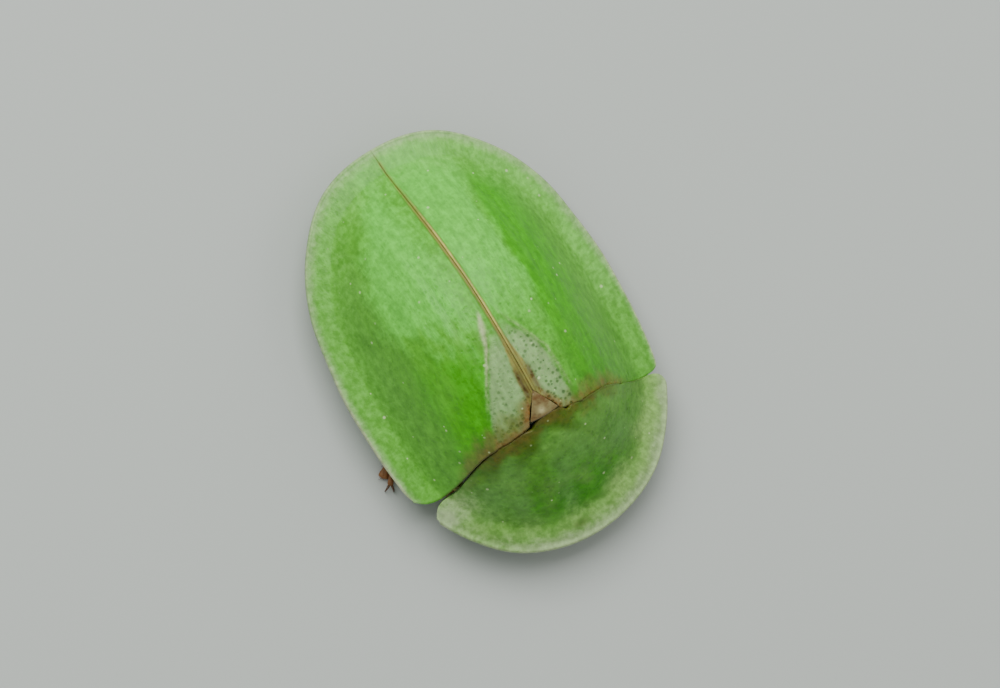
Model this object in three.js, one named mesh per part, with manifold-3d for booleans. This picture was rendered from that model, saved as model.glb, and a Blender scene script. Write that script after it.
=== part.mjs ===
// A thistle tortoise beetle at rest, life size, in millimetres.
// +Z is up, the floor is z = 0, the head points along -Y and the animal's right side is -X.
import * as THREE from 'three';
import { mergeVertices } from 'three/addons/utils/BufferGeometryUtils.js';
import Module from 'manifold-3d';

const wasm = await Module();
wasm.setup();

// Driving sizes of the whole shell
const BODY_LENGTH = 7.2;
const TAIL_Y = BODY_LENGTH / 2;
const CENTRE_Y = TAIL_Y - 3.75;
const RIM_Z = 0.76;
const RIM_HALF_THICKNESS = 0.11;
const MARGIN_WIDTH = 0.9;
const MARGIN_RISE = 0.22;
const CROWN_RISE = 1.95;
const SHELL_THICKNESS = 0.45;
const DOME_INSET = 0.42;
const INNER_INSET = 0.28;
const DOME_END_POWER = 2.5;
const DOME_SIDE_POWER = 3;
const DOME_SHARPNESS = 1.35;

// Gaps between neighbouring sub-parts
const JOINT_GAP = 0.1;
const SUTURE_GAP = 0.06;
const SOCKET_GAP = 0.07;
const WELD = 1e-4;

// Plan outline of each shell plate: radii about the centre, at equal steps of angle from its own end,
// and the cells its dome is made of. The last radii of the wing cases only shape the dome.
const ELYTRA = {
  towards: 1,
  shift: 0,
  stepDegrees: 16,
  radii: [3.75, 3.68, 3.34, 2.97, 2.64, 2.49, 2.46, 2.59, 2.86, 3.14, 3.38, 3.47, 3.47],
  columns: 56,
  rows: 20,
};
const PRONOTUM = {
  towards: -1,
  shift: 0.05,
  stepDegrees: 12,
  radii: [3.47, 3.44, 3.34, 3.14, 2.94, 2.8],
  columns: 76,
  rows: 18,
};

// The seam between pronotum and wing cases, as distances in front of the tail
const SEAM_MIDDLE = 5.0;
const SEAM_STEP = 0.13;
const SEAM_STEP_WIDTH = 0.4;
const SEAM_SWEEP = 0.3;
const SEAM_SWEEP_START = 0.95;
const SEAM_SWEEP_END = 1.95;

// Rounded outer corners beside that seam, as (half width, distance in front of the tail)
const SHOULDER = { start: 1.88, corner: [2.34, 5.46], end: [2.37, 5.05] };
const HIND_CORNER = { start: 1.8, corner: [2.17, 5.47], end: [2.15, 5.8] };

// Cutting blocks reach this far sideways, down and up
const OUTSIDE = 4.5;
const BLOCK_BOTTOM = -1;
const BLOCK_HEIGHT = 6;

const SCUTELLUM_HALF_WIDTH = 0.25;
const SCUTELLUM_BASE = 4.95;
const SCUTELLUM_TIP = 4.5;

// The body under the shell
const BODY_CLEARANCE = 0.1;
const BODY_INSET = 0.93;
const BODY_COLUMNS = 34;
const BODY_ROWS = 12;
const FRONT_SECTOR = 0.62;
const BELLY_Z = 0.7;
const BELLY_EDGE_RISE = 0.06;
const ABDOMEN_FRONT = 3.1;
const THORAX_SPLIT = 5.1;
const PROTHORAX_FRONT = 6.02;

// The head and what it carries: centres as (half width, distance in front of the tail, height), and
// half sizes
const HEAD_CENTRE = [0, 6.36, 0.47];
const HEAD_HALF = [0.54, 0.44, 0.34];
const FACE_CENTRE = [0, 6.72, 0.36];
const FACE_HALF = [0.24, 0.14, 0.15];
const JAW_CENTRE = [0.1, 6.6, 0.19];
const JAW_HALF = [0.12, 0.13, 0.13];
const PALP_CENTRE = [0.24, 6.54, 0.2];
const PALP_HALF = [0.07, 0.16, 0.07];
const EYE_CENTRE = [0.5, 6.38, 0.52];
const EYE_HALF = [0.17, 0.27, 0.23];
const ANTENNA_RADIUS = 0.19;
const ANTENNA_TIP_RADIUS = 0.1;
const ANTENNA_BEADS = 11;
const CLUB_BEADS = 5;
const BEAD_RELIEF = 0.12;
const STEM_SHARE = 0.85;
const ANTENNA_PATH = [
  [0.2, 6.78, 0.5],
  [0.62, 6.9, 0.42],
  [1.08, 6.76, 0.37],
  [1.5, 6.4, 0.34],
];

// Legs, as (half width, distance in front of the tail) for hip, knee, ankle and toe
const LEGS = {
  front: { hip: [0.42, 5.5], knee: [1.1, 5.93], ankle: [1.52, 5.36], toe: [1.76, 5.96] },
  middle: { hip: [0.55, 4.45], knee: [1.4, 4.02], ankle: [1.93, 4.2], toe: [2.18, 4.94] },
  hind: { hip: [0.6, 3.45], knee: [1.45, 2.85], ankle: [1.6, 2.02], toe: [1.55, 1.3] },
};
const PEEKING_TOE = [2.42, 4.92];
const HIP_Z = 0.53;
const HIP_RADIUS = 0.27;
const KNEE_Z = 0.38;
const FEMUR_START_Z = 0.4;
const FEMUR_RADIUS = 0.23;
const KNEE_RADIUS = 0.2;
const ANKLE_Z = 0.25;
const TIBIA_RADIUS = 0.19;
const TIBIA_NECK_RADIUS = 0.14;
const FOOT_CENTRE_Z = 0.14;
const FOOT_HALF_HEIGHT = 0.19;

// Joints of a foot: share of its length, distance aside, half length, half width and turn in plan
const FOOT_JOINTS = [
  { share: 0.26, aside: 0, halfLength: 0.2, halfWidth: 0.17, turn: 0 },
  { share: 0.48, aside: 0, halfLength: 0.18, halfWidth: 0.2, turn: 0 },
  { share: 0.68, aside: 0.09, halfLength: 0.19, halfWidth: 0.13, turn: 0.25 },
  { share: 0.68, aside: -0.09, halfLength: 0.19, halfWidth: 0.13, turn: -0.25 },
  { share: 0.82, aside: 0, halfLength: 0.13, halfWidth: 0.1, turn: 0 },
];
const CLAW = { share: 0.92, aside: 0.06, radius: 0.055, length: 0.22, spread: 0.45 };

// Colour and roughness of each part of the living animal
const FINISHES = {
  shell: [0x6fb34f, 0.4],
  scutellum: [0x9a6f4c, 0.5],
  body: [0x1b1a14, 0.5],
  abdomen: [0x2a3016, 0.5],
  head: [0x14120d, 0.4],
  eye: [0x090806, 0.2],
  antenna: [0xb9923f, 0.5],
  femur: [0x7c9b35, 0.45],
  tibia: [0x9db24a, 0.45],
  tarsus: [0x8a6a35, 0.6],
};

/** Radius of a plate's outline at an angle from its own end, smooth through the listed radii. */
function radiusAt(plate, angle) {
  const { radii } = plate;
  const last = radii.length - 1;
  const place = Math.min(THREE.MathUtils.radToDeg(angle) / plate.stepDegrees, last);
  const i = Math.min(Math.floor(place), last - 1);
  const t = place - i;
  const before = i > 0 ? radii[i - 1] : radii[1];
  const after = i + 2 <= last ? radii[i + 2] : 2 * radii[last] - radii[last - 1];
  const startSlope = (radii[i + 1] - before) / 2;
  const endSlope = (after - radii[i]) / 2;
  const t2 = t * t;
  const t3 = t2 * t;
  return (2 * t3 - 3 * t2 + 1) * radii[i] + (t3 - 2 * t2 + t) * startSlope
    + (3 * t2 - 2 * t3) * radii[i + 1] + (t3 - t2) * endSlope;
}

/** Where a plan point lies on a plate: distance from the centre, angle, and the outline's radius there. */
function placeOn(plate, x, y) {
  const dx = x - plate.shift;
  const dy = y - CENTRE_Y;
  const angle = Math.atan2(Math.abs(dx), plate.towards * dy);
  return { distance: Math.hypot(dx, dy), angle, radius: radiusAt(plate, angle) };
}

/** Height of a dome over its foot, which lies an inset inside the outline; steeper at the sides. */
function domeRise({ distance, angle, radius }, inset, rise) {
  const t = distance / (radius - inset);
  const power = DOME_END_POWER + (DOME_SIDE_POWER - DOME_END_POWER) * Math.sin(angle) ** 2;
  return t < 1 ? rise * (1 - t ** power) ** DOME_SHARPNESS : 0;
}

/** How far the flat margin has risen at a place, and how round its very edge still is. */
function marginShape({ distance, radius }) {
  const inward = Math.max(radius - distance, 0);
  const share = Math.min(inward / MARGIN_WIDTH, 1);
  const roundness = Math.sqrt(1 - (1 - Math.min(inward / RIM_HALF_THICKNESS, 1)) ** 2);
  return { rise: MARGIN_RISE * share * (2 - share), half: RIM_HALF_THICKNESS * roundness };
}

/** Height of the outer face of a plate. */
function outerHeight(place) {
  const { rise, half } = marginShape(place);
  const crown = CROWN_RISE - MARGIN_RISE - RIM_HALF_THICKNESS;
  return RIM_Z + half + rise + domeRise(place, DOME_INSET, crown);
}

/** Height of the inner face of a plate. */
function innerHeight(place) {
  const { rise, half } = marginShape(place);
  const crown = CROWN_RISE - MARGIN_RISE - SHELL_THICKNESS + RIM_HALF_THICKNESS;
  return RIM_Z - half + rise + domeRise(place, DOME_INSET + INNER_INSET, crown);
}

/** Distance in front of the tail of the seam at a half width. */
function seamAt(halfWidth) {
  const step = SEAM_STEP * (1 - Math.exp(-((halfWidth / SEAM_STEP_WIDTH) ** 2)));
  const sweep = SEAM_SWEEP * THREE.MathUtils.smoothstep(halfWidth, SEAM_SWEEP_START, SEAM_SWEEP_END);
  return SEAM_MIDDLE + step + sweep;
}

/** Closed solid from a three.js geometry. */
function solid(geometry) {
  geometry.deleteAttribute('normal');
  geometry.deleteAttribute('uv');
  const merged = mergeVertices(geometry, WELD);
  return new wasm.Manifold(new wasm.Mesh({
    numProp: 3,
    vertProperties: merged.attributes.position.array,
    triVerts: new Uint32Array(merged.index.array),
  }));
}

/** Closed solid from a unit ball whose every vertex is moved by a function. */
function shapedBall(columns, rows, move) {
  const geometry = new THREE.SphereGeometry(1, columns, rows);
  geometry.rotateX(Math.PI / 2);
  const position = geometry.attributes.position;
  for (let i = 0; i < position.count; i += 1) {
    const point = new THREE.Vector3().fromBufferAttribute(position, i);
    position.setXYZ(i, ...move(point));
  }
  return solid(geometry);
}

/** Ellipsoid given by its centre and half sizes, at a heading in plan. */
function ellipsoid(centre, half, columns = 10, rows = 6, heading = 0) {
  const turn = new THREE.Matrix4().makeRotationZ(heading);
  return shapedBall(columns, rows, (p) => {
    const place = p.multiply(new THREE.Vector3(...half)).applyMatrix4(turn);
    return place.add(new THREE.Vector3(...centre)).toArray();
  });
}

/** Upright block over a plan polygon, tall enough to cut through the whole animal. */
function planBlock(points) {
  const shape = new THREE.Shape(points.map(([x, y]) => new THREE.Vector2(x, y)));
  const geometry = new THREE.ExtrudeGeometry(shape, { depth: BLOCK_HEIGHT, bevelEnabled: false });
  geometry.translate(0, 0, BLOCK_BOTTOM);
  return solid(geometry);
}

/** Block that covers everything between two distances in front of the tail. */
function band(from, to) {
  const near = TAIL_Y - to;
  const far = TAIL_Y - from;
  return planBlock([[-OUTSIDE, near], [OUTSIDE, near], [OUTSIDE, far], [-OUTSIDE, far]]);
}

/** Limb along a curve of points, whose radius is a function of the way along it. */
function limb(points, radiusOf, sides = 8, rings = 4) {
  const curve = new THREE.CatmullRomCurve3(points.map((p) => new THREE.Vector3(...p)));
  const frames = curve.computeFrenetFrames(rings, false);
  const geometry = new THREE.CylinderGeometry(1, 1, 1, sides, rings);
  const position = geometry.attributes.position;
  for (let i = 0; i < position.count; i += 1) {
    const way = position.getY(i) + 0.5;
    const ring = Math.round(way * rings);
    const across = frames.normals[ring].clone().multiplyScalar(position.getZ(i) * radiusOf(way));
    const along = frames.binormals[ring].clone().multiplyScalar(position.getX(i) * radiusOf(way));
    const place = curve.getPointAt(way).add(across).add(along);
    position.setXYZ(i, place.x, place.y, place.z);
  }
  return solid(geometry);
}

/** The single largest closed surface of a solid. */
function largestPiece(piece) {
  return piece.decompose().reduce((best, one) => (one.volume() > best.volume() ? one : best));
}

/** Solids joined into one. */
function joined(pieces) {
  return pieces.reduce((whole, piece) => whole.add(piece));
}

/** The same solid on the animal's other side. */
function mirrored(piece) {
  return piece.mirror([1, 0, 0]);
}

/** Named mesh of a solid, with its own material. */
function sculpt(name, piece, [colour, roughness]) {
  const { vertProperties, triVerts } = largestPiece(piece).getMesh();
  const geometry = new THREE.BufferGeometry();
  geometry.setAttribute('position', new THREE.BufferAttribute(new Float32Array(vertProperties), 3));
  geometry.setIndex(new THREE.BufferAttribute(new Uint32Array(triVerts), 1));
  geometry.computeVertexNormals();
  const material = new THREE.MeshStandardMaterial({ color: colour, roughness, metalness: 0 });
  const mesh = new THREE.Mesh(geometry, material);
  mesh.name = name;
  return mesh;
}

/** Whole domed plate before it is cut to its own region. */
function domedPlate(plate) {
  return shapedBall(plate.columns, plate.rows, (p) => {
    const share = Math.min(Math.hypot(p.x, p.y), 1);
    const angle = Math.atan2(Math.abs(p.x), plate.towards * p.y);
    const radius = radiusAt(plate, angle);
    const x = plate.shift + radius * p.x;
    const y = CENTRE_Y + radius * p.y;
    const place = { distance: share * radius, angle, radius };
    return [x, y, p.z >= 0 ? outerHeight(place) : innerHeight(place)];
  });
}

/** Plan points along the seam from one half width to another, moved forward by an offset. */
function seamPoints(from, to, offset, steps = 10) {
  return Array.from({ length: steps + 1 }, (_, i) => {
    const halfWidth = from + ((to - from) * i) / steps;
    return [halfWidth, TAIL_Y - seamAt(halfWidth) - offset];
  });
}

/** Plan points of a rounded corner, from the end of the seam run to where the side begins. */
function cornerPoints(from, { corner, end }, steps = 6) {
  const curve = new THREE.QuadraticBezierCurve(
    new THREE.Vector2(...from),
    new THREE.Vector2(corner[0], TAIL_Y - corner[1]),
    new THREE.Vector2(end[0], TAIL_Y - end[1]),
  );
  return curve.getPoints(steps).slice(1).map((p) => [p.x, p.y]);
}

/** Triangle of the scutellum, grown by a margin. */
function scutellumBlock(grow) {
  const half = SCUTELLUM_HALF_WIDTH + grow;
  const base = TAIL_Y - SCUTELLUM_BASE - grow;
  return planBlock([[-half, base], [half, base], [0, TAIL_Y - SCUTELLUM_TIP + 2 * grow]]);
}

/** Wing case of the left side. */
function leftWingCase(dome) {
  const seam = seamPoints(SUTURE_GAP / 2, SHOULDER.start, -JOINT_GAP / 2);
  const corner = cornerPoints(seam.at(-1), SHOULDER);
  const sideY = corner.at(-1)[1];
  const region = planBlock([
    ...seam, ...corner, [OUTSIDE, sideY], [OUTSIDE, TAIL_Y + 1], [SUTURE_GAP / 2, TAIL_Y + 1],
  ]);
  return dome.intersect(region).subtract(scutellumBlock(SUTURE_GAP));
}

/** Pronotum, the rounded plate over the head. */
function pronotumPlate() {
  const half = [...seamPoints(0, HIND_CORNER.start, JOINT_GAP / 2)];
  const corner = cornerPoints(half.at(-1), HIND_CORNER);
  const right = [...half, ...corner, [OUTSIDE, corner.at(-1)[1]], [OUTSIDE, -TAIL_Y - 1]];
  const left = right.slice(1).reverse().map(([x, y]) => [-x, y]);
  const shifted = [...right, ...left].reverse().map(([x, y]) => [x + PRONOTUM.shift, y]);
  return domedPlate(PRONOTUM).intersect(planBlock(shifted));
}

/** Plate that covers a plan point. */
function plateOver(x, y) {
  return y > TAIL_Y - seamAt(Math.abs(x)) ? ELYTRA : PRONOTUM;
}

/** Body under the shell, before it is parted. */
function wholeBody() {
  return shapedBall(BODY_COLUMNS, BODY_ROWS, (p) => {
    const plate = p.y < -FRONT_SECTOR * Math.abs(p.x) ? PRONOTUM : ELYTRA;
    const radius = radiusAt(plate, Math.atan2(Math.abs(p.x), plate.towards * p.y)) - BODY_INSET;
    const x = radius * p.x;
    const y = CENTRE_Y + radius * p.y;
    const place = placeOn(plateOver(x, y), x, y);
    place.distance += BODY_CLEARANCE;
    const top = innerHeight(place) - BODY_CLEARANCE;
    const bottom = BELLY_Z + BELLY_EDGE_RISE * (p.x ** 2 + p.y ** 2);
    const level = Math.abs(p.z) < WELD ? (top + bottom) / 2 : 0;
    return [x, y, level || (p.z > 0 ? top : bottom)];
  });
}

/** Point in space from (half width, distance in front of the tail) and a height. */
function at([halfWidth, forward], z) {
  return [halfWidth, TAIL_Y - forward, z];
}

/** Ball at a joint of a leg, grown by a margin. */
function jointBall(place, z, radius, grow = 0) {
  const size = radius + grow;
  return ellipsoid(at(place, z), [size, size, size]);
}

/** Ellipsoid of the head grown by a margin. */
function headCore(grow) {
  const half = HEAD_HALF.map((size) => size + grow);
  return ellipsoid(at(HEAD_CENTRE, HEAD_CENTRE[2]), half, 16, 10);
}

/** Head with its face plate and mouthparts. */
function headSolid() {
  const jaw = ellipsoid(at(JAW_CENTRE, JAW_CENTRE[2]), JAW_HALF, 8, 5);
  const palp = ellipsoid(at(PALP_CENTRE, PALP_CENTRE[2]), PALP_HALF, 6, 4);
  const face = ellipsoid(at(FACE_CENTRE, FACE_CENTRE[2]), FACE_HALF);
  return joined([headCore(0), face, jaw, mirrored(jaw), palp, mirrored(palp)]);
}

/** Eye of the left side, seated on the head. */
function eyeSolid() {
  const ball = ellipsoid(at(EYE_CENTRE, EYE_CENTRE[2]), EYE_HALF, 12, 8);
  return ball.subtract(headCore(SUTURE_GAP));
}

/** Antenna of the left side: a string of beads that ends in a thicker club. */
function antennaSolid() {
  const points = ANTENNA_PATH.map((point) => at(point, point[2]));
  const rings = ANTENNA_BEADS * 2;
  const club = 1 - CLUB_BEADS / ANTENNA_BEADS;
  const tube = limb(points, (way) => {
    const bead = 1 - BEAD_RELIEF * (1 - Math.abs(Math.sin(Math.PI * ANTENNA_BEADS * way)));
    const swell = way > club ? 1 : STEM_SHARE;
    const taper = Math.min(1, (1 - way) * ANTENNA_BEADS + ANTENNA_TIP_RADIUS / ANTENNA_RADIUS);
    return ANTENNA_RADIUS * bead * swell * taper;
  }, 7, rings);
  return tube.subtract(headCore(SUTURE_GAP));
}

/** Thigh of one leg with its hip, on the left side. */
function femurSolid({ hip, knee }) {
  const start = at(hip, FEMUR_START_Z);
  const end = at(knee, KNEE_Z);
  const middle = start.map((value, i) => (value + end[i]) / 2);
  const tube = limb([start, middle, end], (way) => {
    const belly = Math.sin(Math.PI * Math.min(way * 0.9 + 0.1, 1));
    return KNEE_RADIUS + (FEMUR_RADIUS - KNEE_RADIUS) * belly;
  });
  return joined([tube, jointBall(hip, HIP_Z, HIP_RADIUS), jointBall(knee, KNEE_Z, KNEE_RADIUS)]);
}

/** Shank of one leg, socketed on the knee. */
function tibiaSolid({ knee, ankle }) {
  const start = at(knee, KNEE_Z);
  const end = at(ankle, ANKLE_Z);
  const middle = start.map((value, i) => (value + end[i]) / 2);
  const tube = limb([start, middle, end], (way) => {
    return TIBIA_NECK_RADIUS + (TIBIA_RADIUS - TIBIA_NECK_RADIUS) * way;
  }, 8, 2);
  const shank = tube.add(jointBall(ankle, ANKLE_Z, TIBIA_RADIUS));
  return shank.subtract(jointBall(knee, KNEE_Z, KNEE_RADIUS, SOCKET_GAP));
}

/** Foot of one leg: two plain joints, a two-lobed joint and a pair of claws, flat on the floor. */
function tarsusSolid({ ankle, toe }) {
  const start = new THREE.Vector2(ankle[0], TAIL_Y - ankle[1]);
  const reach = new THREE.Vector2(toe[0], TAIL_Y - toe[1]).sub(start);
  const length = reach.length();
  const heading = reach.angle();
  const along = (share, aside) => {
    const place = new THREE.Vector2(share * length, aside).rotateAround(new THREE.Vector2(), heading);
    return [start.x + place.x, start.y + place.y];
  };
  const pieces = FOOT_JOINTS.map(({ share, aside, halfLength, halfWidth, turn }) => {
    const half = [halfLength, halfWidth, FOOT_HALF_HEIGHT];
    return ellipsoid([...along(share, aside), FOOT_CENTRE_Z], half, 8, 6, heading + turn);
  });
  for (const side of [-1, 1]) {
    const claw = new THREE.ConeGeometry(CLAW.radius, CLAW.length, 5);
    claw.rotateZ(-Math.PI / 2 + side * CLAW.spread);
    claw.rotateZ(heading);
    claw.translate(...along(CLAW.share, side * CLAW.aside), FOOT_CENTRE_Z);
    pieces.push(solid(claw));
  }
  const foot = joined(pieces).subtract(jointBall(ankle, ANKLE_Z, TIBIA_RADIUS, SOCKET_GAP));
  const floor = band(-OUTSIDE, 2 * OUTSIDE).translate([0, 0, -BLOCK_HEIGHT - BLOCK_BOTTOM]);
  return foot.subtract(floor);
}

const group = new THREE.Group();

// Shell
const wingDome = domedPlate(ELYTRA);
const wingCase = leftWingCase(wingDome);
group.add(sculpt('elytron_left', wingCase, FINISHES.shell));
group.add(sculpt('elytron_right', mirrored(wingCase), FINISHES.shell));
group.add(sculpt('scutellum', wingDome.intersect(scutellumBlock(0)), FINISHES.scutellum));
group.add(sculpt('pronotum', pronotumPlate(), FINISHES.shell));

// Body, with a socket for each hip and for the head
const sockets = joined(Object.values(LEGS).flatMap(({ hip }) => {
  const socket = jointBall(hip, HIP_Z, HIP_RADIUS, SOCKET_GAP);
  return [socket, mirrored(socket)];
}));
const body = wholeBody().subtract(sockets);
const halfGap = JOINT_GAP / 2;
const abdomen = body.intersect(band(0, ABDOMEN_FRONT - halfGap));
const hindThorax = body.intersect(band(ABDOMEN_FRONT + halfGap, THORAX_SPLIT - halfGap));
const prothorax = body.intersect(band(THORAX_SPLIT + halfGap, PROTHORAX_FRONT));
group.add(sculpt('abdomen', abdomen, FINISHES.abdomen));
group.add(sculpt('pterothorax', hindThorax, FINISHES.body));
group.add(sculpt('prothorax', prothorax.subtract(headCore(SOCKET_GAP)), FINISHES.body));

// Head
const eye = eyeSolid();
const antenna = antennaSolid();
group.add(sculpt('head', headSolid(), FINISHES.head));
group.add(sculpt('eye_left', eye, FINISHES.eye));
group.add(sculpt('eye_right', mirrored(eye), FINISHES.eye));
group.add(sculpt('antenna_left', antenna, FINISHES.antenna));
group.add(sculpt('antenna_right', mirrored(antenna), FINISHES.antenna));

// Legs, the right middle foot reaching a little past the rim
for (const [name, leg] of Object.entries(LEGS)) {
  const femur = femurSolid(leg);
  const tibia = tibiaSolid(leg);
  const tarsus = tarsusSolid(leg);
  const rightLeg = name === 'middle' ? { ...leg, toe: PEEKING_TOE } : leg;
  group.add(sculpt(`leg_${name}_left_femur`, femur, FINISHES.femur));
  group.add(sculpt(`leg_${name}_left_tibia`, tibia, FINISHES.tibia));
  group.add(sculpt(`leg_${name}_left_tarsus`, tarsus, FINISHES.tarsus));
  group.add(sculpt(`leg_${name}_right_femur`, mirrored(femur), FINISHES.femur));
  group.add(sculpt(`leg_${name}_right_tibia`, mirrored(tibia), FINISHES.tibia));
  group.add(sculpt(`leg_${name}_right_tarsus`, mirrored(tarsusSolid(rightLeg)), FINISHES.tarsus));
}

export default group;
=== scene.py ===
"""Looks of a thistle tortoise beetle at rest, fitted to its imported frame.

Lengths in the classes are millimetres; meshes are written in metres.
The head points along -Y, the animal's right side is -X, and the floor is z = 0.
"""

import logging
import math
import random
from dataclasses import dataclass, field
from enum import Enum
from typing import Callable, Sequence

import bmesh
import bpy
from mathutils import Matrix, Vector, noise


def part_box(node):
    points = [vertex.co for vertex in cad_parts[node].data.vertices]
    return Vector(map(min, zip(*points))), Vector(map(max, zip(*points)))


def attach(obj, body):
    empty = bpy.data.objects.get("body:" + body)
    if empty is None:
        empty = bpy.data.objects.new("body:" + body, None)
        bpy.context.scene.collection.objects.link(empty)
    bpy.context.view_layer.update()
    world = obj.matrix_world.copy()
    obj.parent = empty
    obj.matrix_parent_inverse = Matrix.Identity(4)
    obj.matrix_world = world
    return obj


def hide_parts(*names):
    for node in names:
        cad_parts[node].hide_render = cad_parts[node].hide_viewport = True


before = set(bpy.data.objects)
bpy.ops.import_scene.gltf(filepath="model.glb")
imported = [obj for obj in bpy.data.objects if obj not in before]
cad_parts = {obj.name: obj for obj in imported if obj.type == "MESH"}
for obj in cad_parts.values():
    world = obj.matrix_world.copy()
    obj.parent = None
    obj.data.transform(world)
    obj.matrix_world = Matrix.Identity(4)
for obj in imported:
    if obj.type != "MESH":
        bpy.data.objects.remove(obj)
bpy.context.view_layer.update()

LOG = logging.getLogger("tortoise_beetle")
MM = 0.001
BODY = "root"
TAIL_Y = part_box("elytron_left")[1].y / MM
TAIL_TO_CENTRE = 3.75
CENTRE_Y = TAIL_Y - TAIL_TO_CENTRE
WELD = 1e-5
UP = Vector((0, 0, 1))

# Seam between the pronotum and the wing cases: distances in front of the tail and from the middle
SEAM_MIDDLE = 5.0
SEAM_STEP = 0.13
SEAM_STEP_WIDTH = 0.4
SEAM_SWEEP = 0.3
SEAM_SWEEP_START = 0.95
SEAM_SWEEP_END = 1.95

# Scattered dots, as shares of their cells
PIT_SCATTER = 0.95
GLINT_SCATTER = 1.0
DOT_CORE = 0.3
PIT_SMALLEST = 0.45
GLINT_SMALLEST = 0.08
GLINT_SIZE_RANGE = 0.11
GLINT_DIMMEST = 0.4
NET_START = 0.36
NET_END = 0.62

Colour = tuple[float, float, float]


def srgb(red: int, green: int, blue: int) -> Colour:
    """Linear colour of an sRGB triple from 0 to 255.

    Args:
        red: Red, 0 to 255.
        green: Green, 0 to 255.
        blue: Blue, 0 to 255.

    Returns:
        The colour in linear light.
    """
    def linear(value: int) -> float:
        """Linear light of one channel."""
        share = value / 255
        return share / 12.92 if share <= 0.04045 else ((share + 0.055) / 1.055) ** 2.4

    return linear(red), linear(green), linear(blue)


def smooth(low: float, high: float, value: float) -> float:
    """Smooth step from 0 at low to 1 at high; low may be the larger one."""
    share = min(max((value - low) / (high - low), 0.0), 1.0)
    return share * share * (3 - 2 * share)


def bell(value: float, middle: float, width: float) -> float:
    """Bell curve of height 1 about a middle."""
    return math.exp(-(((value - middle) / width) ** 2))


class Side(Enum):
    """Side of the animal, as the sign of X."""

    LEFT = 1
    RIGHT = -1

    @property
    def word(self) -> str:
        """Side as it stands in node names."""
        return self.name.lower()


@dataclass(frozen=True)
class Place:
    """Where a plan point lies on a shell plate."""

    distance: float
    radius: float
    angle: float

    @property
    def inward(self) -> float:
        """Distance inward from the outline."""
        return max(self.radius - self.distance, 0.0)


@dataclass(frozen=True)
class Plate:
    """Plan outline and dome of one shell plate, about the shell's centre."""

    towards: int
    shift: float
    step_degrees: float
    radii: tuple[float, ...]
    rim_z: float = 0.76
    rim_half: float = 0.05
    margin_width: float = 0.9
    margin_rise: float = 0.22
    crown_rise: float = 1.95
    dome_inset: float = 0.42
    end_power: float = 2.5
    side_power: float = 3.0
    sharpness: float = 1.35

    def radius_at(self, angle: float) -> float:
        """Radius of the outline, smooth through the listed radii.

        Args:
            angle: Angle from the plate's own end, in radians.

        Returns:
            The radius in millimetres.
        """
        last = len(self.radii) - 1
        place = min(math.degrees(angle) / self.step_degrees, last)
        i = min(int(place), last - 1)
        t = place - i
        before = self.radii[i - 1] if i > 0 else self.radii[1]
        after = self.radii[i + 2] if i + 2 <= last else 2 * self.radii[last] - self.radii[last - 1]
        start_slope = (self.radii[i + 1] - before) / 2
        end_slope = (after - self.radii[i]) / 2
        t2, t3 = t * t, t * t * t
        return (
            (2 * t3 - 3 * t2 + 1) * self.radii[i]
            + (t3 - 2 * t2 + t) * start_slope
            + (3 * t2 - 2 * t3) * self.radii[i + 1]
            + (t3 - t2) * end_slope
        )

    def rim_point(self, angle: float, side: int) -> tuple[float, float]:
        """Plan point of the outline at an angle on one side.

        Args:
            angle: Angle from the plate's own end, in radians.
            side: Sign of X.

        Returns:
            The plan point in millimetres.
        """
        radius = self.radius_at(angle)
        x = self.shift + side * radius * math.sin(angle)
        return x, CENTRE_Y + self.towards * radius * math.cos(angle)

    def place(self, x: float, y: float) -> Place:
        """Place of a plan point on the plate.

        Args:
            x: Sideways place in millimetres.
            y: Place along the body in millimetres.

        Returns:
            The place.
        """
        dx, dy = x - self.shift, y - CENTRE_Y
        angle = math.atan2(abs(dx), self.towards * dy)
        return Place(math.hypot(dx, dy), self.radius_at(angle), angle)

    def height(self, place: Place) -> float:
        """Height of the outer face above the floor.

        Args:
            place: Place on the plate.

        Returns:
            The height in millimetres.
        """
        share = min(place.inward / self.margin_width, 1.0)
        rise = self.margin_rise * share * (2 - share)
        edge = min(place.inward / self.rim_half, 1.0)
        half = self.rim_half * math.sqrt(1 - (1 - edge) ** 2)
        crown = self.crown_rise - self.margin_rise - self.rim_half
        t = place.distance / (place.radius - self.dome_inset)
        power = self.end_power + (self.side_power - self.end_power) * math.sin(place.angle) ** 2
        dome = crown * (1 - t**power) ** self.sharpness if t < 1 else 0.0
        return self.rim_z + half + rise + dome


WINGS = Plate(1, 0.0, 16, (3.75, 3.68, 3.34, 2.97, 2.64, 2.49, 2.46, 2.59, 2.86, 3.14, 3.38, 3.47, 3.47))
COLLAR = Plate(-1, 0.075, 12, (3.47, 3.44, 3.345, 3.155, 2.965, 2.83))


def seam_at(half_width: float) -> float:
    """Distance in front of the tail of the seam between pronotum and wing cases."""
    step = SEAM_STEP * (1 - math.exp(-((half_width / SEAM_STEP_WIDTH) ** 2)))
    return SEAM_MIDDLE + step + SEAM_SWEEP * smooth(SEAM_SWEEP_START, SEAM_SWEEP_END, half_width)


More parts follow.
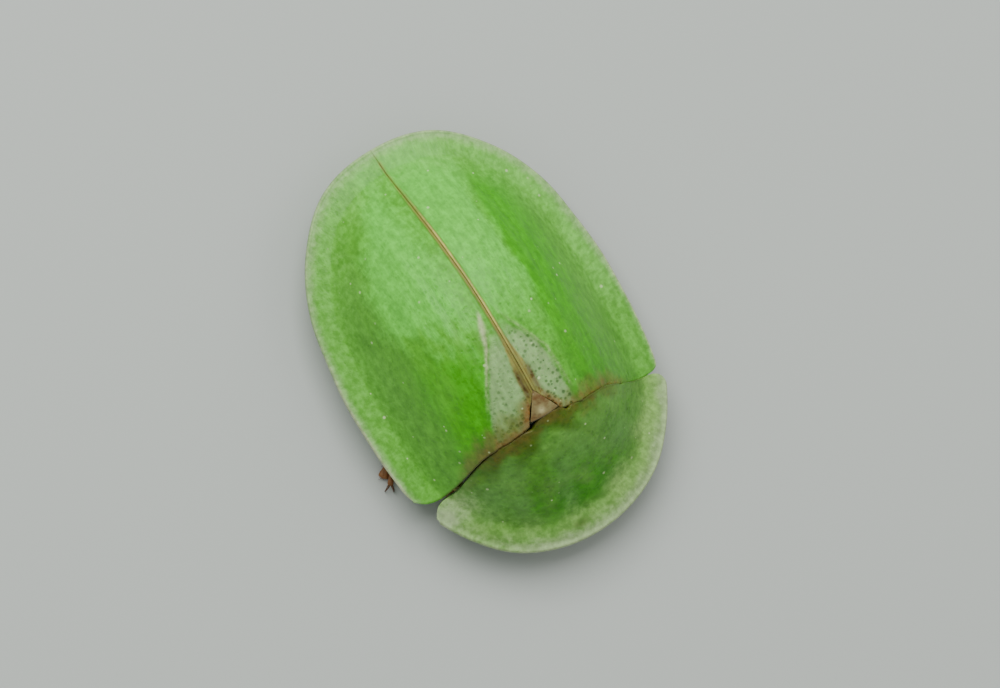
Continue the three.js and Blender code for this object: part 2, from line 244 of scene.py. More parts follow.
@dataclass
class Path:
    """Plan path through points, read by its share of the length."""

    points: list[tuple[float, float]]
    lengths: list[float] = field(init=False)

    def __post_init__(self) -> None:
        """Measures the path once."""
        self.lengths = [0.0]
        for (x0, y0), (x1, y1) in zip(self.points, self.points[1:]):
            self.lengths.append(self.lengths[-1] + math.hypot(x1 - x0, y1 - y0))

    def at(self, share: float) -> tuple[float, float]:
        """Point at a share of the length, from 0 to 1.

        Args:
            share: Share of the length.

        Returns:
            The plan point.
        """
        want = min(max(share, 0.0), 1.0) * self.lengths[-1]
        for i in range(1, len(self.points)):
            if want <= self.lengths[i] or i == len(self.points) - 1:
                span = self.lengths[i] - self.lengths[i - 1]
                t = (want - self.lengths[i - 1]) / span if span else 0.0
                (x0, y0), (x1, y1) = self.points[i - 1], self.points[i]
                return x0 + (x1 - x0) * t, y0 + (y1 - y0) * t
        return self.points[-1]


def bent_corner(
    start: tuple[float, float], corner: tuple[float, float], end: tuple[float, float], steps: int = 12
) -> list[tuple[float, float]]:
    """Points of a rounded corner after its start point.

    Args:
        start: Plan point where the bend begins.
        corner: Plan point that the bend is pulled towards.
        end: Plan point where the bend ends.
        steps: Number of points.

    Returns:
        The plan points, from the first after start to end.
    """
    points = []
    for i in range(1, steps + 1):
        t = i / steps
        weights = ((1 - t) ** 2, 2 * t * (1 - t), t * t)
        spots = (start, corner, end)
        points.append(tuple(sum(w * p[k] for w, p in zip(weights, spots)) for k in (0, 1)))
    return points


class Nodes:
    """Small helper that adds and links the nodes of one tree."""

    def __init__(self, tree: bpy.types.NodeTree) -> None:
        """Keeps the tree that is being built."""
        self.tree = tree

    def add(self, kind: str, settings: dict | None = None, **inputs) -> bpy.types.Node:
        """Adds a node.

        Args:
            kind: Blender's name of the node type.
            settings: Properties of the node itself.
            **inputs: Values or sockets for its inputs, with underscores for blanks in their names.

        Returns:
            The new node.
        """
        node = self.tree.nodes.new(kind)
        for key, value in (settings or {}).items():
            setattr(node, key, value)
        for key, value in inputs.items():
            self.feed(node.inputs[key.replace("_", " ")], value)
        return node

    def feed(self, socket: bpy.types.NodeSocket, value) -> None:
        """Links a socket or sets its value.

        Args:
            socket: Input socket.
            value: Another socket, or a number or colour.
        """
        if isinstance(value, bpy.types.NodeSocket):
            self.tree.links.new(value, socket)
        elif isinstance(value, tuple) and len(value) == 3 and socket.type == "RGBA":
            socket.default_value = (*value, 1.0)
        else:
            socket.default_value = value

    def math(self, operation: str, *values, clamp: bool = False) -> bpy.types.NodeSocket:
        """Result of a Math node.

        Args:
            operation: Blender's name of the operation.
            *values: Numbers or sockets.
            clamp: Whether the result is held between 0 and 1.

        Returns:
            The result's socket.
        """
        node = self.add("ShaderNodeMath", {"operation": operation, "use_clamp": clamp})
        for socket, value in zip(node.inputs, values):
            self.feed(socket, value)
        return node.outputs[0]

    def ramp(self, value: bpy.types.NodeSocket, low: float, high: float) -> bpy.types.NodeSocket:
        """Smooth step of a value, from 0 at low to 1 at high.

        Args:
            value: Value to read.
            low: Value that gives 0.
            high: Value that gives 1.

        Returns:
            The result's socket.
        """
        settings = {"interpolation_type": "SMOOTHSTEP"}
        node = self.add("ShaderNodeMapRange", settings, Value=value, From_Min=low, From_Max=high)
        return node.outputs[0]

    def mask(self, name: str) -> bpy.types.NodeSocket:
        """Value of a named attribute of the mesh."""
        return self.add("ShaderNodeAttribute", {"attribute_name": name}).outputs["Fac"]

    def blend(self, factor, first, second) -> bpy.types.NodeSocket:
        """Mix of two colours.

        Args:
            factor: Share of the second colour.
            first: First colour.
            second: Second colour.

        Returns:
            The mixed colour's socket.
        """
        node = self.add("ShaderNodeMix", {"data_type": "RGBA"})
        self.feed(node.inputs[0], factor)
        self.feed(node.inputs[6], first)
        self.feed(node.inputs[7], second)
        return node.outputs[2]

    def place(self, stretch: tuple[float, float, float] = (1.0, 1.0, 1.0)) -> bpy.types.NodeSocket:
        """Object coordinates, stretched."""
        source = self.add("ShaderNodeTexCoord").outputs["Object"]
        return self.add("ShaderNodeMapping", Vector=source, Scale=stretch).outputs[0]


def effect_group(
    name: str,
    inputs: Sequence[tuple[str, str, float]],
    outputs: Sequence[tuple[str, str]],
    fill: Callable[[Nodes, bpy.types.Node, bpy.types.Node], None],
) -> bpy.types.NodeTree:
    """Builds a shared effect once.

    Args:
        name: Name of the node group.
        inputs: Name, socket type and default value of each input.
        outputs: Name and socket type of each output.
        fill: Function that adds the nodes between the group's input and output nodes.

    Returns:
        The node group.
    """
    if name in bpy.data.node_groups:
        return bpy.data.node_groups[name]
    tree = bpy.data.node_groups.new(name, "ShaderNodeTree")
    for label, kind, default in inputs:
        socket = tree.interface.new_socket(label, in_out="INPUT", socket_type=kind)
        if kind == "NodeSocketFloat":
            socket.default_value = default
        elif kind == "NodeSocketVector":
            socket.default_value = (default, default, default)
    for label, kind in outputs:
        tree.interface.new_socket(label, in_out="OUTPUT", socket_type=kind)
    nodes = Nodes(tree)
    fill(nodes, tree.nodes.new("NodeGroupInput"), tree.nodes.new("NodeGroupOutput"))
    return tree


def scattered_cells(nodes: Nodes, source: bpy.types.Node, scatter: float) -> bpy.types.Node:
    """Cells in space, as many per metre as the group's input says.

    Args:
        nodes: Nodes of the group.
        source: The group's input node.
        scatter: How far the cells' middles stray from a regular grid, 0 to 1.

    Returns:
        The texture node.
    """
    place = nodes.add("ShaderNodeTexCoord").outputs["Object"]
    settings = {"voronoi_dimensions": "3D", "feature": "F1"}
    cells = nodes.add("ShaderNodeTexVoronoi", settings, Vector=place, Randomness=scatter)
    nodes.feed(cells.inputs["Scale"], source.outputs["Per Metre"])
    return cells


def soft_dot(nodes: Nodes, cells: bpy.types.Node, size: bpy.types.NodeSocket) -> bpy.types.NodeSocket:
    """Mask of a soft round dot in the middle of each cell.

    Args:
        nodes: Nodes of the group.
        cells: The texture node of the cells.
        size: Radius of the dot as a share of its cell.

    Returns:
        The mask.
    """
    dot = nodes.add(
        "ShaderNodeMapRange",
        {"interpolation_type": "SMOOTHSTEP"},
        Value=cells.outputs["Distance"],
        From_Min=size,
        From_Max=nodes.math("MULTIPLY", size, DOT_CORE),
    )
    return dot.outputs[0]


def fill_pits(nodes: Nodes, source: bpy.types.Node, target: bpy.types.Node) -> None:
    """Small scattered pits: a dark dot and a dent at each.

    Args:
        nodes: Nodes of the group.
        source: The group's input node.
        target: The group's output node.
    """
    cells = scattered_cells(nodes, source, PIT_SCATTER)
    pick = nodes.add("ShaderNodeSeparateColor", Color=cells.outputs["Color"]).outputs[0]
    share = nodes.math("MULTIPLY_ADD", pick, 1.0, PIT_SMALLEST)
    dot = soft_dot(nodes, cells, nodes.math("MULTIPLY", source.outputs["Size"], share))
    nodes.feed(target.inputs["Mask"], dot)
    nodes.feed(target.inputs["Net"], nodes.ramp(cells.outputs["Distance"], NET_START, NET_END))
    nodes.feed(target.inputs["Dent"], nodes.math("MULTIPLY", dot, -1.0))


def fill_glints(nodes: Nodes, source: bpy.types.Node, target: bpy.types.Node) -> None:
    """Sparse tiny pale specks: painted glints, highlights on the bright rims of single pits.

    Args:
        nodes: Nodes of the group.
        source: The group's input node.
        target: The group's output node.
    """
    cells = scattered_cells(nodes, source, GLINT_SCATTER)
    tint = nodes.add("ShaderNodeSeparateColor", Color=cells.outputs["Color"])
    size = nodes.math("MULTIPLY_ADD", tint.outputs[1], GLINT_SIZE_RANGE, GLINT_SMALLEST)
    near = soft_dot(nodes, cells, size)
    chosen = nodes.math("GREATER_THAN", tint.outputs[0], source.outputs["Rarity"])
    bright = nodes.math("MULTIPLY_ADD", tint.outputs[2], 1 - GLINT_DIMMEST, GLINT_DIMMEST)
    mask = nodes.math("MULTIPLY", nodes.math("MULTIPLY", near, chosen), bright)
    nodes.feed(target.inputs["Mask"], mask)


def fill_mottle(nodes: Nodes, source: bpy.types.Node, target: bpy.types.Node) -> None:
    """Soft cloudy variation between 0 and 1.

    Args:
        nodes: Nodes of the group.
        source: The group's input node.
        target: The group's output node.
    """
    place = nodes.add("ShaderNodeTexCoord").outputs["Object"]
    cloud = nodes.add("ShaderNodeTexNoise", Vector=place, Detail=5.0, Roughness=0.6)
    nodes.feed(cloud.inputs["Scale"], source.outputs["Per Metre"])
    nodes.feed(target.inputs["Mask"], nodes.ramp(cloud.outputs["Fac"], 0.3, 0.7))


def fill_streaks(nodes: Nodes, source: bpy.types.Node, target: bpy.types.Node) -> None:
    """Fine streaks and cells, drawn out as the stretch of the coordinates says.

    Args:
        nodes: Nodes of the group.
        source: The group's input node.
        target: The group's output node.
    """
    place = nodes.add("ShaderNodeMapping", Vector=source.outputs["Place"], Scale=source.outputs["Stretch"])
    grain = nodes.add("ShaderNodeTexNoise", Vector=place.outputs[0], Scale=1.0, Detail=3.0, Roughness=0.55)
    nodes.feed(target.inputs["Mask"], nodes.ramp(grain.outputs["Fac"], 0.3, 0.7))


def pits_group() -> bpy.types.NodeTree:
    """Group of the pits that the whole shell and the head carry."""
    inputs = [("Per Metre", "NodeSocketFloat", 9000.0), ("Size", "NodeSocketFloat", 0.3)]
    outputs = [("Mask", "NodeSocketFloat"), ("Net", "NodeSocketFloat"), ("Dent", "NodeSocketFloat")]
    return effect_group("pits", inputs, outputs, fill_pits)


def glints_group() -> bpy.types.NodeTree:
    """Group of the painted glints, sparse pale specks."""
    inputs = [("Per Metre", "NodeSocketFloat", 4000.0), ("Rarity", "NodeSocketFloat", 0.6)]
    return effect_group("glints", inputs, [("Mask", "NodeSocketFloat")], fill_glints)


def mottle_group() -> bpy.types.NodeTree:
    """Group of the cloudy variation."""
    inputs = [("Per Metre", "NodeSocketFloat", 1500.0)]
    return effect_group("mottle", inputs, [("Mask", "NodeSocketFloat")], fill_mottle)


def streaks_group() -> bpy.types.NodeTree:
    """Group of the drawn-out grain."""
    inputs = [("Place", "NodeSocketVector", 0.0), ("Stretch", "NodeSocketVector", 1.0)]
    return effect_group("streaks", inputs, [("Mask", "NodeSocketFloat")], fill_streaks)


def new_material(name: str) -> tuple[bpy.types.Material, Nodes, bpy.types.Node]:
    """Makes a material that has only its shader.

    Args:
        name: Name of the material.

    Returns:
        The material, a helper for its nodes, and its shader.
    """
    material = bpy.data.materials.new(name)
    material.use_nodes = True
    return material, Nodes(material.node_tree), material.node_tree.nodes["Principled BSDF"]


@dataclass(frozen=True)
class ShellFinish:
    """Green shell: zones painted from the mesh's masks, painted sheen and shade among them, with pits,
    painted glints, streaks and mottling.
    """

    name: str
    ground: Colour
    dark_ground: Colour
    layers: tuple[tuple[str, Colour], ...]
    pit_colour: Colour = srgb(62, 92, 48)
    net_colour: Colour = srgb(186, 206, 150)
    pits_per_metre: float = 13000.0
    pit_size: float = 0.42
    pit_strength: float = 0.1
    dotted_strength: float = 0.6
    # colour of the painted glints, tiny highlights on single pits
    glint_colour: Colour = srgb(222, 244, 178)
    grain_per_metre: tuple[float, float, float] = (14000.0, 3600.0, 3600.0)
    clouds_per_metre: float = 1300.0
    shade: float = 0.27
    roughness: float = 0.42
    roughness_range: float = 0.16
    margin_grain: tuple[float, float, float] = (17.0, 5.0, 3.0)
    fine_per_metre: float = 9000.0
    edge_unevenness: float = 1.5
    net_strength: float = 0.22
    glints_per_metre: float = 5000.0
    glint_rarity: float = 0.6
    glint_strength: float = 0.9
    pit_relief: float = 0.35
    dotted_relief: float = 0.6
    grain_relief: float = 0.5
    bump_strength: float = 0.6
    bump_height: float = 0.000015
    specular: float = 0.2
    coat: float = 0.02
    coat_roughness: float = 0.35
    subsurface: float = 0.1
    subsurface_scale: float = 0.0002
    subsurface_radius: tuple[float, float, float] = (0.6, 1.0, 0.3)

    def group(self, nodes: Nodes, tree: bpy.types.NodeTree, **inputs) -> bpy.types.Node:
        """Adds one of the shared effects with its settings."""
        return nodes.add("ShaderNodeGroup", {"node_tree": tree}, **inputs)

    def grain(self, nodes: Nodes) -> bpy.types.NodeSocket:
        """Lightness grain around 0: streaks along the disc and cells across the margin.

        Args:
            nodes: Nodes of the tree that is being built.

        Returns:
            The grain's socket.
        """
        along = self.group(nodes, streaks_group(), Place=nodes.place(), Stretch=self.grain_per_metre)
        radial = nodes.add("ShaderNodeAttribute", {"attribute_name": "radial"}).outputs["Vector"]
        across = self.group(nodes, streaks_group(), Place=radial, Stretch=self.margin_grain)
        flat = nodes.mask("margin")
        mix = nodes.math("MULTIPLY", across.outputs["Mask"], flat)
        rest = nodes.math("MULTIPLY", along.outputs["Mask"], nodes.math("SUBTRACT", 1.0, flat))
        return nodes.math("SUBTRACT", nodes.math("ADD", mix, rest), 0.5)

    def painted(self, nodes: Nodes, fine: bpy.types.NodeSocket) -> bpy.types.NodeSocket:
        """Ground colour with the zones painted over it, each with an uneven edge.

        Args:
            nodes: Nodes of the tree that is being built.
            fine: Fine mottling that makes the edges uneven.

        Returns:
            The colour's socket.
        """
        clouds = self.group(nodes, mottle_group(), Per_Metre=self.clouds_per_metre)
        colour = nodes.blend(clouds.outputs["Mask"], self.dark_ground, self.ground)
        uneven = nodes.math("MULTIPLY", nodes.math("SUBTRACT", fine, 0.5), self.edge_unevenness)
        for attribute, paint_colour in self.layers:
            mask = nodes.mask(attribute)
            edge = nodes.math("MULTIPLY", mask, nodes.math("SUBTRACT", 1.0, mask))
            shift = nodes.math("MULTIPLY", uneven, edge)
            colour = nodes.blend(nodes.math("ADD", mask, shift, clamp=True), colour, paint_colour)
        return colour

    def dotted_colour(
        self, nodes: Nodes, pits: bpy.types.Node, colour: bpy.types.NodeSocket
    ) -> bpy.types.NodeSocket:
        """Colour with the pale net, the dark dots and the bright specks of painted glints laid over it.

        Args:
            nodes: Nodes of the material.
            pits: The node of the pits.
            colour: Colour below them.

        Returns:
            The colour.
        """
        dots = nodes.math("MULTIPLY_ADD", nodes.mask("dotted"), self.dotted_strength, self.pit_strength)
        dots = nodes.math("MULTIPLY", dots, nodes.mask("pitted"))
        dots = nodes.math("MULTIPLY", dots, pits.outputs["Mask"])
        net = nodes.math("MULTIPLY", pits.outputs["Net"], nodes.mask("dotted"))
        colour = nodes.blend(nodes.math("MULTIPLY", net, self.net_strength), colour, self.net_colour)
        colour = nodes.blend(dots, colour, self.pit_colour)
        settings = {"Per_Metre": self.glints_per_metre, "Rarity": self.glint_rarity}
        glints = self.group(nodes, glints_group(), **settings)
        painted_glint = nodes.math("MULTIPLY", glints.outputs["Mask"], nodes.mask("pitted"))
        return nodes.blend(nodes.math("MULTIPLY", painted_glint, self.glint_strength), colour, self.glint_colour)

    def relief(
        self, nodes: Nodes, pits: bpy.types.Node, grain: bpy.types.NodeSocket
    ) -> bpy.types.NodeSocket:
        """Normal of the pits and the grain.

        Args:
            nodes: Nodes of the material.
            pits: The node of the pits.
            grain: Lightness grain.

        Returns:
            The normal.
        """
        dent = nodes.math("MULTIPLY", pits.outputs["Dent"], nodes.mask("pitted"))
        depth = nodes.math("MULTIPLY_ADD", nodes.mask("dotted"), self.dotted_relief, self.pit_relief)
        dent = nodes.math("MULTIPLY", dent, depth)
        height = nodes.math("ADD", dent, nodes.math("MULTIPLY", grain, self.grain_relief))
        settings = {"Height": height, "Strength": self.bump_strength, "Distance": self.bump_height}
        return nodes.add("ShaderNodeBump", **settings).outputs[0]

    def build(self) -> bpy.types.Material:
        """Makes the material.

        Returns:
            The material.
        """
        material, nodes, shader = new_material(self.name)
        fine = self.group(nodes, mottle_group(), Per_Metre=self.fine_per_metre).outputs["Mask"]
        colour = self.painted(nodes, fine)
        grain = self.grain(nodes)
        light = nodes.math("MULTIPLY_ADD", grain, self.shade, 1.0)
        cloud = nodes.math("MULTIPLY_ADD", fine, self.shade, 1 - self.shade / 2)
        light = nodes.math("MULTIPLY", light, cloud)
        scaled = nodes.add("ShaderNodeVectorMath", {"operation": "SCALE"}, Scale=light)
        nodes.feed(scaled.inputs[0], colour)
        pits = self.group(nodes, pits_group(), Per_Metre=self.pits_per_metre, Size=self.pit_size)
        nodes.feed(shader.inputs["Base Color"], self.dotted_colour(nodes, pits, scaled.outputs[0]))
        low = self.roughness - self.roughness_range / 2
        rough = nodes.math("MULTIPLY_ADD", fine, self.roughness_range, low)
        nodes.feed(shader.inputs["Roughness"], rough)
        nodes.feed(shader.inputs["Normal"], self.relief(nodes, pits, grain))
        shader.inputs["Specular IOR Level"].default_value = self.specular
        shader.inputs["Coat Weight"].default_value = self.coat
        shader.inputs["Coat Roughness"].default_value = self.coat_roughness
        shader.inputs["Subsurface Weight"].default_value = self.subsurface
        shader.inputs["Subsurface Scale"].default_value = self.subsurface_scale
        shader.inputs["Subsurface Radius"].default_value = self.subsurface_radius
        return material


@dataclass(frozen=True)
class CuticleFinish:
    """Plain cuticle of the underside, head, legs and feelers, with grain and soft mottling."""

    name: str
    colour: Colour
    dark: Colour
    roughness: float = 0.4
    grain_per_metre: float = 14000.0
    grain_size: float = 0.35
    grain_strength: float = 0.35
    mask: str = ""
    mask_colour: Colour = (0.0, 0.0, 0.0)
    coat: float = 0.0
    coat_roughness: float = 0.15
    mottle_per_metre: float = 5000.0
    roughness_range: float = 0.12
    bump_strength: float = 0.5
    bump_height: float = 0.00001

    def build(self) -> bpy.types.Material:
        """Makes the material.

        Returns:
            The material.
        """
        material, nodes, shader = new_material(self.name)
        mottle = nodes.add("ShaderNodeGroup", {"node_tree": mottle_group()})
        mottle.inputs["Per Metre"].default_value = self.mottle_per_metre
        colour = nodes.blend(mottle.outputs["Mask"], self.dark, self.colour)
        if self.mask:
            colour = nodes.blend(nodes.mask(self.mask), colour, self.mask_colour)
        pits = nodes.add("ShaderNodeGroup", {"node_tree": pits_group()})
        pits.inputs["Per Metre"].default_value = self.grain_per_metre
        pits.inputs["Size"].default_value = self.grain_size
        shadow = nodes.math("MULTIPLY", pits.outputs["Mask"], self.grain_strength)
        nodes.feed(shader.inputs["Base Color"], nodes.blend(shadow, colour, self.dark))
        low = self.roughness - self.roughness_range / 2
        rough = nodes.math("MULTIPLY_ADD", mottle.outputs["Mask"], self.roughness_range, low)
        nodes.feed(shader.inputs["Roughness"], rough)
        settings = {"Strength": self.bump_strength, "Distance": self.bump_height}
        bump = nodes.add("ShaderNodeBump", Height=pits.outputs["Dent"], **settings)
        nodes.feed(shader.inputs["Normal"], bump.outputs[0])
        if self.coat:
            shader.inputs["Coat Weight"].default_value = self.coat
            shader.inputs["Coat Roughness"].default_value = self.coat_roughness
        return material


def show(name: str, data: bpy.types.ID) -> bpy.types.Object:
    """Makes an object of a mesh, camera or light and puts it in the scene.

    Args:
        name: Name of the object.
        data: Its mesh, camera or light.

    Returns:
        The object.
    """
    thing = bpy.data.objects.new(name, data)
    bpy.context.scene.collection.objects.link(thing)
    return thing


def finish_piece(
    name: str,
    form: bmesh.types.BMesh,
    material: bpy.types.Material,
    nodes: Sequence[str],
    thickness: float = 0.0,
) -> bpy.types.Object:
    """Turns a mesh in millimetres into a finished piece.

    Args:
        name: Name of the piece.
        form: Mesh in millimetres, freed here.
        material: Its material.
        nodes: CAD nodes that the piece stands for.
        thickness: Wall thickness in millimetres for an open sheet, 0 for a closed form.

    Returns:
        The Blender object.
    """
    bmesh.ops.remove_doubles(form, verts=form.verts, dist=WELD)
    bmesh.ops.recalc_face_normals(form, faces=form.faces)
    if thickness:
        top = max(form.verts, key=lambda v: v.co.z)
        if top.normal.z < 0:
            bmesh.ops.reverse_faces(form, faces=form.faces)
    bmesh.ops.scale(form, verts=form.verts, vec=(MM, MM, MM))
    mesh = bpy.data.meshes.new(name)
    form.to_mesh(mesh)
    form.free()
    mesh.shade_smooth()
    mesh.materials.append(material)
    piece = show(name, mesh)
    if thickness:
        wall = piece.modifiers.new("wall", "SOLIDIFY")
        wall.thickness = thickness * MM
        wall.offset = -1.0
        wall.use_even_offset = False
    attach(piece, BODY)
    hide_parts(*nodes)
    LOG.info("%s: %d faces", name, len(mesh.polygons))
    return piece


def sheet_grid(columns: int, rows: int, move: Callable[[float, float], Vector]) -> bmesh.types.BMesh:
    """Sheet shaped from a flat grid.

    Args:
        columns: Number of cells across.
        rows: Number of cells along.
        move: Function from the shares across and along, 0 to 1, to the point in millimetres.

    Returns:
        The mesh.
    """
    form = bmesh.new()
    bmesh.ops.create_grid(form, x_segments=columns, y_segments=rows, size=1.0)
    for vertex in form.verts:
        vertex.co = move((vertex.co.x + 1) / 2, (vertex.co.y + 1) / 2)
    return form


def add_ball(
    form: bmesh.types.BMesh, columns: int, rows: int, move: Callable[[Vector], Vector]
) -> list[bmesh.types.BMVert]:
    """Adds a unit ball whose every vertex is moved by a function.

    Args:
        form: Mesh that gets the ball.
        columns: Cells around.
        rows: Cells from pole to pole.
        move: Function from a point of the unit ball to its new place.

    Returns:
        The new vertices.
    """
    made = bmesh.ops.create_uvsphere(form, u_segments=columns, v_segments=rows, radius=1.0)
    for vertex in made["verts"]:
        vertex.co = move(vertex.co.copy())
    return made["verts"]


def add_egg(
    form: bmesh.types.BMesh,
    centre: Sequence[float],
    half: Sequence[float],
    turn: Matrix | None = None,
    detail: int = 16,
) -> list[bmesh.types.BMVert]:
    """Adds an ellipsoid with a centre, half sizes and an optional turn.

    Args:
        form: Mesh that gets the ellipsoid.
        centre: Its middle in millimetres.
        half: Its half sizes.
        turn: Its turn about the middle.
        detail: Cells around.

    Returns:
        The new vertices.
    """
    middle = Vector(centre)
    matrix = turn or Matrix.Identity(3)

    def move(point: Vector) -> Vector:
        """Stretches, turns and places a point."""
        return middle + matrix @ Vector((point.x * half[0], point.y * half[1], point.z * half[2]))

    return add_ball(form, detail, max(detail // 2, 4), move)


def curve_point(points: Sequence[Vector], way: float) -> Vector:
    """Point on a smooth curve through points, at a share of the way from 0 to 1.

    Args:
        points: Points that the curve goes through.
        way: Share of the way.

    Returns:
        The point.
    """
    last = len(points) - 1
    place = min(max(way, 0.0), 1.0) * last
    i = min(int(place), last - 1)
    t = place - i
    a = points[i - 1] if i > 0 else points[0] * 2 - points[1]
    b, c = points[i], points[i + 1]
    d = points[i + 2] if i + 2 <= last else points[last] * 2 - points[last - 1]
    square, cube = 2 * a - 5 * b + 4 * c - d, 3 * b - a - 3 * c + d
    return 0.5 * (2 * b + (c - a) * t + square * t**2 + cube * t**3)


def add_limb(
    form: bmesh.types.BMesh,
    points: Sequence[Vector],
    radius: Callable[[float], float],
    flat: float = 1.0,
    columns: int = 20,
    rows: int = 24,
) -> None:
    """Adds a closed limb along a curve.

    Args:
        form: Mesh that gets the limb.
        points: Points of its axis in millimetres.
        radius: Radius in millimetres at a share of the way.
        flat: Height of the section over its width.
        columns: Cells around.
        rows: Cells along.
    """
    def move(point: Vector) -> Vector:
        """Places a point of the unit ball on the limb.

        Args:
            point: Point of the unit ball.

        Returns:
            Its new place in millimetres.
        """
        way = 1 - math.acos(min(max(point.z, -1.0), 1.0)) / math.pi
        round_end = min(1.0, math.sqrt(max(1 - (2 * way - 1) ** 8, 0.0)))
        ahead = curve_point(points, min(way + 0.02, 1.0)) - curve_point(points, max(way - 0.02, 0.0))
        forward = ahead.normalized()
        across = forward.cross(UP).normalized()
        upward = across.cross(forward)
        ring = Vector((point.x, point.y, 0))
        if ring.length > 1e-6:
            ring.normalize()
        size = radius(way) * round_end
        return curve_point(points, way) + across * ring.x * size + upward * ring.y * size * flat

    add_ball(form, columns, rows, move)


def add_hair(form: bmesh.types.BMesh, root: Vector, tip: Vector, width: float) -> None:
    """Adds one three-sided bristle from its root to its tip.

    Args:
        form: Mesh that gets the bristle.
        root: Place of its root.
        tip: Place of its tip.
        width: Radius at the root.
    """
    run = tip - root
    turn = run.to_track_quat("Z", "Y").to_matrix().to_4x4()
    matrix = Matrix.Translation(root + run / 2) @ turn
    bmesh.ops.create_cone(
        form, cap_ends=True, segments=3,
        radius1=width, radius2=width * 0.15, depth=run.length, matrix=matrix,
    )


def forward_point(half_width: float, forward: float, z: float, side: Side = Side.LEFT) -> Vector:
    """Point from a half width, a distance in front of the tail and a height."""
    return Vector((side.value * half_width, TAIL_Y - forward, z))


def paint(form: bmesh.types.BMesh, name: str, value: Callable[[Vector], float]) -> None:
    """Writes a float mask on every vertex, from its place in millimetres.

    Args:
        form: Mesh in millimetres.
        name: Name of the mask.
        value: Function from a vertex's place to the mask's value.
    """
    layer = form.verts.layers.float.new(name)
    for vertex in form.verts:
        vertex[layer] = value(vertex.co)


@dataclass(frozen=True)
class Spot:
    """Plan place of a vertex as the colouring sees it, in millimetres."""

    x: float
    forward: float
    inward: float


Zones = dict[str, Callable[[Spot], float]]


def paint_plate(
    form: bmesh.types.BMesh, plate: Plate, sideways: Callable[[float], float], zones: Zones
) -> None:
    """Writes the colour zones of a shell plate and its two directions of grain.

    Args:
        form: Mesh of the plate in millimetres.
        plate: Plan of the plate.
        sideways: Function from X to the sideways place that the zones are given in.
        zones: Masks by name.
    """
    layers = {name: form.verts.layers.float.new(name) for name in zones}
    radial = form.verts.layers.float_vector.new("radial")
    for vertex in form.verts:
        x, y, _ = vertex.co
        place = plate.place(x, y)
        spot = Spot(sideways(x), TAIL_Y - y, place.inward)
        vertex[radial] = Vector((place.angle * place.radius, place.inward, math.copysign(1.0, x)))
        for name, zone in zones.items():
            vertex[layers[name]] = zone(spot)


def steps_between(points: Sequence[tuple[float, float]], value: float) -> float:
    """Value of a line through (place, value) points, level beyond its ends.

    Args:
        points: Corners of the line, in order.
        value: Place on the line.

    Returns:
        The line's value there.
    """
    if value <= points[0][0]:
        return points[0][1]
    for (x0, y0), (x1, y1) in zip(points, points[1:]):
        if value <= x1:
            return y0 + (y1 - y0) * (value - x0) / (x1 - x0)
    return points[-1][1]


def ragged(spot: Spot, scale: float, reach: float, seed: float, drawn: float = 0.35) -> float:
    """Uneven shift of a zone's edge, drawn out along the body unless drawn is 1."""
    return reach * noise.noise(Vector((spot.x * scale, spot.forward * scale * drawn, seed)))


